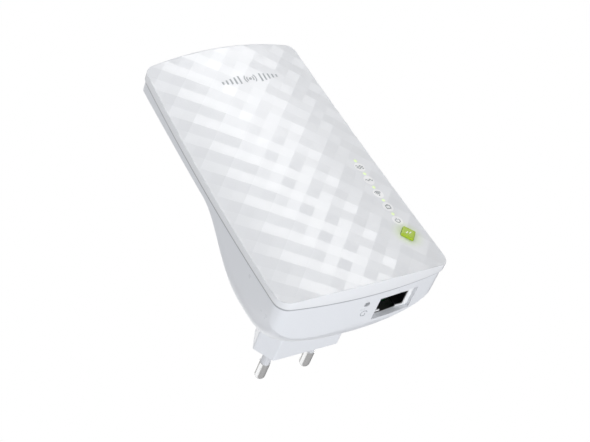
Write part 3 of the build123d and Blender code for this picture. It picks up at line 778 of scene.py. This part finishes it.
def cover_rings(shape):
    """Rings of the cover from the front's edge, round the side band, to the inside of the lip."""
    p = shape.p
    turn = [radians(a) for a in (30, 60, 90)]
    rows = [(p.edge_round, lambda x, z: shape.crowned(x, z))]
    rows += [(p.edge_round * (1 - sin(a)),
              lambda x, z, a=a: shape.crowned(x, z) + p.edge_round * (1 - cos(a))) for a in turn]
    fine = 0.15 * MM
    inner = shape.lip_inset + p.lip_wall
    rows += [(0.0, lambda x, z: shape.seam(z) - fine), (fine, lambda x, z: shape.seam(z)),
             (p.cover_wall, lambda x, z: shape.seam(z)),
             (p.cover_wall, lambda x, z: shape.crowned(x, z, p.cover_wall)),
             (shape.lip_inset, lambda x, z: shape.crowned(x, z, p.cover_wall)),
             (shape.lip_inset, lambda x, z: shape.seam(z) + p.lip_height),
             (inner, lambda x, z: shape.seam(z) + p.lip_height),
             (inner, lambda x, z: shape.crowned(x, z, p.cover_wall))]
    return [[(x, depth(x, z), z) for x, z in shape.outline(inset)] for inset, depth in rows]


def build_cover(shape, material):
    """Front cover with its woven relief, lip, button hole and light windows."""
    p = shape.p
    bm = bmesh.new()
    part = bm.faces.layers.int.new("part")
    on_front = bm.verts.layers.float.new("front")
    loops = loft(bm, cover_rings(shape))
    bm.faces.new(loops[0])[part] = 1
    bm.faces.new(loops[-1])[part] = 2
    cut_along_facets(bm, shape)
    for face in bm.faces:
        face.smooth = face[part] != 1
        for vert in face.verts:
            if face[part] == 1:
                vert.co.y = shape.crowned(vert.co.x, vert.co.z)
                vert[on_front] = 1.0
            elif face[part] == 2:
                vert.co.y = shape.crowned(vert.co.x, vert.co.z, p.cover_wall)
    bmesh.ops.recalc_face_normals(bm, faces=bm.faces)
    mesh = bpy.data.meshes.new("front_cover_shell")
    bm.to_mesh(mesh)
    bm.free()
    piece = new_piece("front_cover_shell", mesh, material)
    use_tree(piece, woven_relief_tree(), tile=p.tile, relief=p.relief, middle=shape.middle,
             first_crease=shape.first_crease(), material=material)
    hole = diamond(BUTTON_X, BUTTON_Z, HOLE_HALF, HOLE_CORNER)
    cutters = [prism(hole, shape.front - 2 * MM, shape.seam_mid + 5 * MM)]
    window = shape.crowned(LIGHT_X, shape.middle) + WINDOW_SKIN
    for i in range(LIGHT_COUNT):
        ring = arc(LIGHT_X, FIRST_LIGHT - i * LIGHT_PITCH, WINDOW_RADIUS, 0, 2 * pi, 20)
        cutters.append(prism(ring, window, shape.seam_mid + 5 * MM))
    combine(piece, cutters, "DIFFERENCE")
    reshade(piece, 24, lambda face: face.normal.y < -0.9 and on_relief(face, shape))
    return finished(piece, "housing", "white_gloss", "front_cover")


def on_relief(face, shape):
    """True for a face of the outer front."""
    middle = face.calc_center_median()
    return middle.y < shape.crowned(middle.x, middle.z) + shape.p.cover_wall / 2


def diamond(x, z, half_diagonal_side, corner):
    """Rounded square stood on its corner; the second size is half its side."""
    reach = (half_diagonal_side - corner) * sqrt(2)
    points = []
    for quarter in range(4):
        turn = pi / 2 * quarter
        cx, cz = x + reach * cos(turn), z + reach * sin(turn)
        points += arc(cx, cz, corner, turn - pi / 4, turn + pi / 4, 6)
        points.append((cx + corner * cos(turn + pi / 4), cz + corner * sin(turn + pi / 4)))
    return points


# ---------------------------------------------------------------- rear housing

PLUG_TALL, PLUG_WIDE, PLUG_FLAT = 6.85 * MM, 17.65 * MM, 13.05 * MM
PLUG_CORNER, PLUG_GAP = 0.9 * MM, 0.1 * MM
PORT_HALF, PORT_FRONT, PORT_BACK = 7.9 * MM, -44.2 * MM, -33.6 * MM
PINHOLE_X, PINHOLE_Y, PINHOLE_RADIUS = 1.0 * MM, -43.2 * MM, 1.1 * MM
LABEL_GAP = 0.2 * MM
FIRST_VENT = 40.5 * MM


def hull_solid(shape, inset):
    """Closed solid through the rear housing's sections."""
    rings = []
    for z in shape.hull_heights(inset):
        half = shape.section(max(z, shape.end + inset), inset)
        left = [(-x, y) for x, y in reversed(half[:-1])]
        rings.append([(x, y, z) for x, y in half + left])
    return capped(rings)


def trimmed_hull(shape, inset, name):
    """Rear housing's solid, cut to the outline."""
    mesh = mesh_of(hull_solid(shape, inset), name)
    column = prism(shape.outline(shape.p.seam_step + inset), shape.front - 20 * MM, 20 * MM)
    return combine(new_piece(name, mesh), [column], "INTERSECT")


def plug_outline(grow):
    """Six-sided outline of the plug body, with rounded corners."""
    tall, wide, flat = PLUG_TALL + grow, PLUG_WIDE + grow, PLUG_FLAT + grow / 2
    corners = [(wide, 0), (flat, tall), (-flat, tall), (-wide, 0), (-flat, -tall), (flat, -tall)]
    return rounded(corners, PLUG_CORNER)


def rounded(corners, radius, steps=6):
    """Polygon, anticlockwise, with its corners rounded."""
    points = []
    for i, corner in enumerate(corners):
        here = Vector(corner)
        before = (Vector(corners[i - 1]) - here).normalized()
        after = (Vector(corners[(i + 1) % len(corners)]) - here).normalized()
        half = before.angle(after) / 2
        centre = here + (before + after).normalized() * radius / sin(half)
        first = here + before * radius / (sin(half) / cos(half)) - centre
        last = here + after * radius / (sin(half) / cos(half)) - centre
        start = atan2(first.y, first.x)
        sweep = (atan2(last.y, last.x) - start + 3 * pi) % (2 * pi) - pi
        points += [(centre.x + radius * cos(start + sweep * k / steps),
                    centre.y + radius * sin(start + sweep * k / steps)) for k in range(steps + 1)]
    return points


def slot_row(shape, material):
    """Vents as a cutter: one slot, repeated up the back."""
    p = shape.p
    straight, radius = (p.vent_length - p.vent_width) / 2, p.vent_width / 2
    ends = arc(straight, FIRST_VENT, radius, -pi / 2, pi / 2, 8) + [(straight, FIRST_VENT + radius)]
    ends += arc(-straight, FIRST_VENT, radius, pi / 2, 3 * pi / 2, 8) + [(-straight, FIRST_VENT - radius)]
    mesh = bpy.data.meshes.new("vent_row")
    cutter = prism(ends, -p.thin_depth - 4 * MM, -p.thin_depth + 2 * MM)
    cutter.to_mesh(mesh)
    cutter.free()
    row = new_piece("vent_row", mesh)
    use_tree(row, row_tree(), count=p.vent_count, step=(0, 0, p.vent_pitch), material=material)
    bm = bmesh.new()
    bm.from_mesh(row.data)
    bpy.data.objects.remove(row)
    return bm


def build_housing(shape, material):
    """Rear housing as a shell with its socket cut-out, pinhole, vents, plug hole and label recess."""
    p = shape.p
    piece = trimmed_hull(shape, 0.0, "rear_housing_shell")
    inner = trimmed_hull(shape, p.housing_wall, "rear_housing_inside")
    hollow = bmesh.new()
    hollow.from_mesh(inner.data)
    bpy.data.objects.remove(inner)
    thin = -p.thin_depth
    port_x = (JACK_LOW.x + JACK_HIGH.x) / 2
    port = block((port_x - PORT_HALF, PORT_FRONT, shape.end - 4 * MM),
                 (port_x + PORT_HALF, PORT_BACK, JACK_LOW.z + 1 * MM))
    recess = block((LABEL_LOW.x - LABEL_GAP, thin - LABEL_GAP, LABEL_LOW.z - LABEL_GAP),
                   (LABEL_HIGH.x + LABEL_GAP, thin + 2 * MM, LABEL_HIGH.z + LABEL_GAP))
    circle = [(PINHOLE_X + PINHOLE_RADIUS * cos(a), PINHOLE_Y + PINHOLE_RADIUS * sin(a))
              for a in (2 * pi * i / 28 for i in range(28))]
    pinhole = capped([[(x, y, z) for x, y in circle] for z in (shape.end - 4 * MM, shape.end + 4 * MM)])
    plug = prism(plug_outline(PLUG_GAP), -p.deep_depth - 8 * MM, 5 * MM)
    combine(piece, [hollow, port, recess, pinhole, plug, slot_row(shape, material)], "DIFFERENCE")
    reshade(piece, 26, merge=0.04 * MM)
    even = piece.modifiers.new("even", "WEIGHTED_NORMAL")
    even.keep_sharp = True
    bake(piece)
    piece.data.materials.clear()
    piece.data.materials.append(material)
    return finished(piece, "housing", "white_gloss", "rear_housing")


# ---------------------------------------------------------------- front button

FLANGE_HALF, FLANGE_CORNER, FLANGE_THICK = 2.6 * MM, 0.2 * MM, 0.35 * MM
CAP_HALF, CAP_CORNER, CAP_EDGE, CAP_PROUD = 2.25 * MM, 0.32 * MM, 0.12 * MM, 0.7 * MM
MARK_LEAN, MARK_APART, MARK_WIDTH = (0.57 * MM, 0.31 * MM), (0.60 * MM, -0.16 * MM), 0.40 * MM


def build_cap(shape, material):
    """Button: a flange behind the cover and a square with crisp edges that stands proud of it."""
    def face(x, z):
        return shape.crowned(x, z) - CAP_PROUD

    def ring(half, corner, depth):
        return [(x, depth(x, z), z) for x, z in diamond(BUTTON_X, BUTTON_Z, half, corner)]

    back = BUTTON_HIGH.y
    rings = [ring(FLANGE_HALF, FLANGE_CORNER, lambda x, z: back),
             ring(FLANGE_HALF, FLANGE_CORNER, lambda x, z: back - FLANGE_THICK),
             ring(CAP_HALF, CAP_CORNER, lambda x, z: back - FLANGE_THICK)]
    for turn in (90, 60, 30, 0):
        inset = CAP_EDGE * (1 - sin(radians(turn)))
        drop = CAP_EDGE * (1 - cos(radians(turn)))
        rings.append(ring(CAP_HALF - inset, CAP_CORNER, lambda x, z: face(x, z) + drop))
    for share in (0.66, 0.33):
        rings.append(ring(CAP_HALF * share, CAP_CORNER * share, face))
    return new_piece("button_cap", mesh_of(capped(rings), "button_cap", 35), material)


# ---------------------------------------------------------------- printed marks

BROADCAST_X, BROADCAST_Z, BROADCAST_UNIT = 3.9 * MM, 72.5 * MM, 1.2 * MM
ICONS = ("double_wave", "wave", "signal", "port", "power")
ICON_UNIT = 1.0 * MM
ARROW_X, ARROW_Y, ARROW_RADIUS, ARROW_WIDTH = 1.3 * MM, -38.6 * MM, 1.25 * MM, 0.32 * MM
ARROW_BARBS = ((-0.15 * MM, -0.95 * MM), (-0.95 * MM, 0.1 * MM))


def stroke(bm, points, width, surface):
    """Flat strip of ink along a line of points, laid on a surface."""
    rows = []
    for i, here in enumerate(points):
        before, after = points[max(i - 1, 0)], points[min(i + 1, len(points) - 1)]
        dx, dz = after[0] - before[0], after[1] - before[1]
        length = hypot(dx, dz)
        nx, nz = -dz / length * width / 2, dx / length * width / 2
        rows.append([(here[0] + side * nx, here[1] + side * nz) for side in (-1, 0, 1)])
    loft(bm, [[surface(x, z) for x, z in row] for row in rows], closed=False)


def turned(x, z, radius, start, end, steps=16):
    """Arc as stroke points, by degrees."""
    return arc(x, z, radius, radians(start), radians(end), steps) + [
        (x + radius * cos(radians(end)), z + radius * sin(radians(end)))]


def line(x0, z0, x1, z1, steps=6):
    """Straight run as stroke points."""
    return [(x0 + (x1 - x0) * i / steps, z0 + (z1 - z0) * i / steps) for i in range(steps + 1)]


def ink_piece(name, strokes, surface, shape, material, into=(0, 1, 0)):
    """Closed sheet of ink made of strokes; each stroke is points and a width."""
    bm = bmesh.new()
    for points, width in strokes:
        stroke(bm, points, width, surface)
    bmesh.ops.recalc_face_normals(bm, faces=bm.faces)
    for face in bm.faces:
        if face.normal.dot(Vector(into)) > 0:
            face.normal_flip()
    deep = bmesh.ops.duplicate(bm, geom=bm.faces[:])
    moved = [v for v in deep["geom"] if isinstance(v, bmesh.types.BMVert)]
    bmesh.ops.translate(bm, verts=moved, vec=Vector(into) * shape.p.print_height * 1.6)
    pairs = {v: deep["vert_map"][v] for v in bm.verts if v in deep["vert_map"] and v not in moved}
    for edge in [e for e in bm.edges if e.is_boundary and e.verts[0] in pairs and e.verts[1] in pairs]:
        a, b = edge.verts
        bm.faces.new((a, b, pairs[b], pairs[a]))
    bmesh.ops.recalc_face_normals(bm, faces=bm.faces)
    return new_piece(name, mesh_of(bm, name, 40), material)


def broadcast_mark(x, z, unit):
    """Dot between arcs, with a falling row of bars at each side."""
    strokes = [(turned(x, z, 0.28 * unit, 0, 360, 20), 0.34 * unit)]
    for radius in (1.1, 1.9):
        for side in (0, 180):
            strokes.append((turned(x, z, radius * unit, side - 42, side + 42), 0.34 * unit))
    for i in range(5):
        tall = (1.55 - 0.26 * i) * unit
        for side in (-1, 1):
            bar_x = x + side * (3.6 + 1.35 * i) * unit
            strokes.append((line(bar_x, z - tall, bar_x, z + tall), 0.5 * unit))
    return strokes


def icon_strokes(kind, x, z, unit):
    """Strokes of one status icon."""
    thin = 0.26 * unit
    if kind in ("double_wave", "wave"):
        rows = (0.45, -0.45) if kind == "double_wave" else (0.0,)
        return [([(x + (t / 14 - 0.5) * 3.0 * unit, z + (row + 0.38 * sin(t / 14 * 4 * pi)) * unit)
                  for t in range(15)], thin) for row in rows]
    if kind == "signal":
        arcs = [turned(x, z - 0.8 * unit, r * unit, 45, 135) for r in (0.8, 1.35, 1.9)]
        return [(run, thin) for run in arcs + [turned(x, z - 0.8 * unit, 0.14 * unit, 0, 360, 12)]]
    if kind == "port":
        half, top = 0.85 * unit, 0.595 * unit
        runs = [(-half, -half, half, -half), (half, -half, half, top), (-half, top, -half, -half),
                (-half, top, half, top), (-0.35 * unit, half, 0.35 * unit, half)]
        return [(line(x + x0, z + z0, x + x1, z + z1), thin) for x0, z0, x1, z1 in runs]
    ring = [(turned(x, z - 0.1 * unit, 0.9 * unit, 125, 415, 24), thin)]
    return ring + [(line(x, z + 0.1 * unit, x, z + 1.15 * unit), thin)]


# ---------------------------------------------------------------- stage

LENS_MM = 97.605
CAMERA_PLACE = (-0.27524, -0.41029, -0.24712)
CAMERA_AHEAD = (0.51275470, 0.69671714, 0.50166507)
CAMERA_RIGHT = (0.83780818, -0.27844295, -0.46962429)
FLOOR_Z = -1.0
AMBIENT = 0.46
SOFTBOXES = (  # name, direction, distance, width, watts, tone
    ("key", (0.42, -0.69, 0.63), 0.9, 0.34, 1.35, (1.0, 0.998, 0.99)),
    ("top", (-0.35, -0.55, 0.90), 0.5, 0.35, 0.72, (1.0, 1.0, 1.0)),
    ("left_fill", (-1.0, -0.30, -0.15), 1.1, 0.7, 1.7, (0.93, 0.96, 1.0)),
    ("pin_shine", (-0.52, 0.70, 0.05), 0.7, 0.6, 0.8, (0.97, 0.98, 1.0)),
    ("low_fill", (-0.05, -0.30, -1.0), 0.9, 0.6, 4.6, (0.95, 0.97, 1.0)),
    ("back_fill", (0.4, 1.0, 0.5), 1.2, 0.8, 1.8, (1.0, 1.0, 1.0)),
)
GLINTS = (  # direction, watts
    ((0.14, -0.86, 0.50), 0.05), ((0.22, -0.80, 0.60), 0.07), ((0.30, -0.83, 0.42), 0.07),
    ((0.40, -0.68, 0.66), 0.09), ((0.60, -0.66, 0.42), 0.09), ((0.66, -0.52, 0.56), 0.07),
    ((0.76, -0.42, 0.48), 0.05),
)
GLINT_DISTANCE, GLINT_SIZE = 0.9, 0.11
LOW_SKY, HIGH_SKY = (0.66, 0.69, 0.74, 1), (1.0, 1.0, 1.0, 1)
DARK_TOWARD, DARK_EDGE, DARK_CORE = (0.68, 0.72, 0.0), 36, 24
DARK_TONE = (0.06, 0.06, 0.065)


# ---------------------------------------------------------------- operators

class ExtenderOperator:
    """Shared by every step: it adds to the scene and can be undone."""

    bl_options = {"REGISTER", "UNDO"}

    def shape(self, context):
        return Shape(context.scene.extender_shape)


class EXTENDER_OT_stage(ExtenderOperator, bpy.types.Operator):
    """Pale floor, soft studio light and the camera"""

    bl_idname = "extender.stage"
    bl_label = "Stage and camera"

    def execute(self, context):
        scene = context.scene
        scene.view_settings.view_transform = "Standard"
        self.world(scene)
        self.floor()
        for name, toward, distance, width, watts, tone in SOFTBOXES:
            self.softbox(name, toward, distance, width, watts, tone)
        for i, (toward, watts) in enumerate(GLINTS):
            self.softbox(f"glint_{i}", toward, GLINT_DISTANCE, GLINT_SIZE, watts, (1, 1, 1))
        self.camera(scene)
        return {"FINISHED"}

    def world(self, scene):
        """White surroundings, cooler below, with a dark patch that the pins mirror."""
        world = bpy.data.worlds.new("studio")
        scene.world = world
        world.use_nodes = True
        graph = Graph(world.node_tree)
        seen = graph.nodes["Background"]
        seen.inputs["Color"].default_value = (1, 1, 1, 1)
        seen.inputs["Strength"].default_value = 1.0
        toward = graph.node("ShaderNodeTexCoord").outputs["Generated"]
        ramp = graph.node("ShaderNodeValToRGB")
        low, high = ramp.color_ramp.elements
        low.position, low.color = 0.25, LOW_SKY
        high.position, high.color = 0.80, HIGH_SKY
        graph.feed(graph.math("MULTIPLY_ADD", graph.split(toward)["Z"], 0.5, 0.5), ramp.inputs[0])
        near = graph.node("ShaderNodeVectorMath", operation="DOT_PRODUCT")
        near.inputs[1].default_value = Vector(DARK_TOWARD).normalized()
        graph.feed(toward, near.inputs[0])
        dark = graph.remap(near.outputs["Value"], cos(radians(DARK_EDGE)), cos(radians(DARK_CORE)))
        around = graph.node("ShaderNodeBackground")
        around.inputs["Strength"].default_value = AMBIENT
        graph.feed(graph.mixed(dark, ramp.outputs["Color"], DARK_TONE), around.inputs["Color"])
        mix = graph.node("ShaderNodeMixShader")
        camera_ray = graph.node("ShaderNodeLightPath").outputs["Is Camera Ray"]
        for source, socket in zip((camera_ray, around.outputs[0], seen.outputs[0]), mix.inputs):
            graph.feed(source, socket)
        graph.feed(mix.outputs[0], graph.nodes["World Output"].inputs["Surface"])

    def floor(self):
        """Wide floor well below the part, which hangs on a wall socket when in use."""
        made = Finish("floor_paint", (0.90, 0.90, 0.91), 0.5)
        made.gloss(made.noise(300), 0.45, 0.6)
        made.bump(made.noise(8), 0.05)
        bm = bmesh.new()
        bmesh.ops.create_grid(bm, x_segments=8, y_segments=8, size=12.0)
        bmesh.ops.translate(bm, verts=bm.verts, vec=(0, 0, FLOOR_Z))
        new_piece("floor", mesh_of(bm, "floor"), made.material)

    def softbox(self, name, toward, distance, width, watts, tone):
        """Square area light in a direction from the part's middle, facing it."""
        data = bpy.data.lights.new(name, "AREA")
        data.energy, data.size, data.color = watts, width, tone
        light = bpy.data.objects.new(name, data)
        bpy.context.scene.collection.objects.link(light)
        middle = (CAD_BOX[0] + CAD_BOX[1]) / 2
        away = Vector(toward).normalized()
        light.location = middle + away * distance
        light.rotation_mode = "QUATERNION"
        light.rotation_quaternion = (-away).to_track_quat("-Z", "Y")

    def camera(self, scene):
        """Camera low in front on the left, turned a little about its own line of sight."""
        data = bpy.data.cameras.new("camera")
        data.lens, data.sensor_width = LENS_MM, 36.0
        data.clip_start, data.clip_end = 0.01, 50.0
        camera = bpy.data.objects.new("camera", data)
        scene.collection.objects.link(camera)
        ahead = Vector(CAMERA_AHEAD).normalized()
        right = Vector(CAMERA_RIGHT)
        right = (right - ahead * right.dot(ahead)).normalized()
        up = right.cross(ahead)
        turn = Matrix((right, up, -ahead)).transposed().to_4x4()
        camera.matrix_world = Matrix.Translation(Vector(CAMERA_PLACE)) @ turn
        scene.camera = camera


class EXTENDER_OT_front_cover(ExtenderOperator, bpy.types.Operator):
    """Crowned front cover with its woven relief and the glow of its lights"""

    bl_idname = "extender.front_cover"
    bl_label = "Front cover"

    def execute(self, context):
        build_cover(self.shape(context), cover_finish(context.scene.extender_colours))
        return {"FINISHED"}


class EXTENDER_OT_rear_housing(ExtenderOperator, bpy.types.Operator):
    """Rear housing with its vents, socket cut-out, reset pinhole and label"""

    bl_idname = "extender.rear_housing"
    bl_label = "Rear housing"

    def execute(self, context):
        shape, colours = self.shape(context), context.scene.extender_colours
        build_housing(shape, housing_finish(colours, shape))
        plug = moulded("plug_satin", colours.housing, 0.26, 0.36, coat_weight=0.15, coat_roughness=0.2)
        paint("plug_body", plug.material)
        return {"FINISHED"}


class EXTENDER_OT_pins(ExtenderOperator, bpy.types.Operator):
    """Nickel-plated pins and their sleeves"""

    bl_idname = "extender.pins"
    bl_label = "Pins"

    def execute(self, context):
        nickel = metal("bright_nickel", (0.90, 0.895, 0.88), 0.20, 0.30, (0.2, 1, 0.2), 0.6, 0.001)
        sleeve = moulded("sleeve_plastic", (0.70, 0.71, 0.735), 0.35, 0.5)
        for side in ("left", "right"):
            paint(f"plug_pin_{side}", nickel.material)
            paint(f"pin_sleeve_{side}", sleeve.material)
        return {"FINISHED"}


class EXTENDER_OT_network_socket(ExtenderOperator, bpy.types.Operator):
    """Network socket and its contacts"""

    bl_idname = "extender.network_socket"
    bl_label = "Network socket"

    def execute(self, context):
        paint("ethernet_jack", socket_finish())
        paint("jack_contacts", metal("contact_gold", (0.92, 0.80, 0.55), 0.15, 0.25, (1, 1, 0.1)).material)
        return {"FINISHED"}


class EXTENDER_OT_front_button(ExtenderOperator, bpy.types.Operator):
    """Lit button, a square stood on its corner, with its pale mark"""

    bl_idname = "extender.front_button"
    bl_label = "Front button"

    def execute(self, context):
        shape = self.shape(context)
        made = moulded("button_green", context.scene.extender_colours.button, 0.22, 0.3, coat_weight=0.3)
        made.set("Emission Color", (0.45, 0.80, 0.04, 1.0))
        made.set("Emission Strength", 0.03)
        finished(build_cap(shape, made.material), "front_button", "green_cap", "front_button")
        pale = moulded("button_mark", (0.93, 0.97, 0.80), 0.3, 0.4)

        def surface(x, z):
            return (x, shape.crowned(x, z) - CAP_PROUD - shape.p.print_height / 2, z)

        strokes = []
        for side in (-1, 1):
            x, z = BUTTON_X + side * MARK_APART[0], BUTTON_Z + side * MARK_APART[1]
            ends = (x - MARK_LEAN[0], z - MARK_LEAN[1], x + MARK_LEAN[0], z + MARK_LEAN[1])
            strokes.append((line(*ends), MARK_WIDTH))
        mark = ink_piece("button_mark", strokes, surface, shape, pale.material)
        finished(mark, "front_button", "green_cap")
        return {"FINISHED"}


class EXTENDER_OT_printed_marks(ExtenderOperator, bpy.types.Operator):
    """Plain printed marks: a broadcast mark, five status icons and a circular arrow at the pinhole"""

    bl_idname = "extender.printed_marks"
    bl_label = "Printed marks"

    def execute(self, context):
        shape = self.shape(context)
        ink = moulded("printed_ink", context.scene.extender_colours.ink, 0.45, 0.6, 0.2, 0.003).material
        pale = moulded("pale_ink", (0.42, 0.44, 0.46), 0.45, 0.6, 0.2, 0.003).material

        def on_cover(x, z):
            return (x, shape.printed(x, z), z)

        def under(x, y):
            """Lower end of the rear housing at a place across and along the depth."""
            return (x, y, end[3] - sqrt(end[4] ** 2 - x * x) - shape.p.print_height)

        mark = broadcast_mark(BROADCAST_X, BROADCAST_Z, BROADCAST_UNIT)
        finished(ink_piece("broadcast_mark", mark, on_cover, shape, pale), "housing", "white_gloss")
        for i, kind in enumerate(ICONS):
            strokes = icon_strokes(kind, LIGHT_X, FIRST_LIGHT - ICON_DROP - i * LIGHT_PITCH, ICON_UNIT)
            finished(ink_piece(f"icon_{kind}", strokes, on_cover, shape, ink), "housing", "white_gloss")
        end = shape.corner(shape.p.seam_step, False)
        arrow = [(turned(ARROW_X, ARROW_Y, ARROW_RADIUS, 60, 350, 24), ARROW_WIDTH)]
        tip = (ARROW_X + ARROW_RADIUS * cos(radians(60)), ARROW_Y + ARROW_RADIUS * sin(radians(60)))
        arrow += [(line(*tip, tip[0] + x, tip[1] + y), ARROW_WIDTH) for x, y in ARROW_BARBS]
        finished(ink_piece("reset_arrow", arrow, under, shape, pale, (0, 0, 1)), "housing", "white_gloss")
        return {"FINISHED"}


class EXTENDER_OT_inner_parts(ExtenderOperator, bpy.types.Operator):
    """Finishes of the boards and of everything on them"""

    bl_idname = "extender.inner_parts"
    bl_label = "Inner parts"

    def execute(self, context):
        for material, nodes in inner_finishes():
            for node in nodes:
                paint(node, material)
        return {"FINISHED"}


class EXTENDER_PT_steps(bpy.types.Panel):
    """Lists the steps in the order in which they are made"""

    bl_idname = "EXTENDER_PT_steps"
    bl_label = "Wifi range extender"
    bl_space_type = "VIEW_3D"
    bl_region_type = "UI"
    bl_category = "Extender"

    def draw(self, context):
        for step in STEPS:
            self.layout.operator(step.bl_idname)
        for group in (context.scene.extender_shape, context.scene.extender_colours):
            box = self.layout.box()
            for name in group.__annotations__:
                box.prop(group, name)


STEPS = (EXTENDER_OT_stage, EXTENDER_OT_front_cover, EXTENDER_OT_rear_housing, EXTENDER_OT_pins,
         EXTENDER_OT_network_socket, EXTENDER_OT_front_button, EXTENDER_OT_printed_marks,
         EXTENDER_OT_inner_parts)
CLASSES = (ExtenderShape, ExtenderColours, *STEPS, EXTENDER_PT_steps)


def register():
    for cls in CLASSES:
        bpy.utils.register_class(cls)
    bpy.types.Scene.extender_shape = PointerProperty(type=ExtenderShape)
    bpy.types.Scene.extender_colours = PointerProperty(type=ExtenderColours)


def unregister():
    del bpy.types.Scene.extender_colours
    del bpy.types.Scene.extender_shape
    for cls in reversed(CLASSES):
        bpy.utils.unregister_class(cls)


def main():
    """Build the whole part."""
    register()
    for step in STEPS:
        family, name = step.bl_idname.split(".")
        getattr(getattr(bpy.ops, family), name)()


if __name__ == "__main__":
    main()
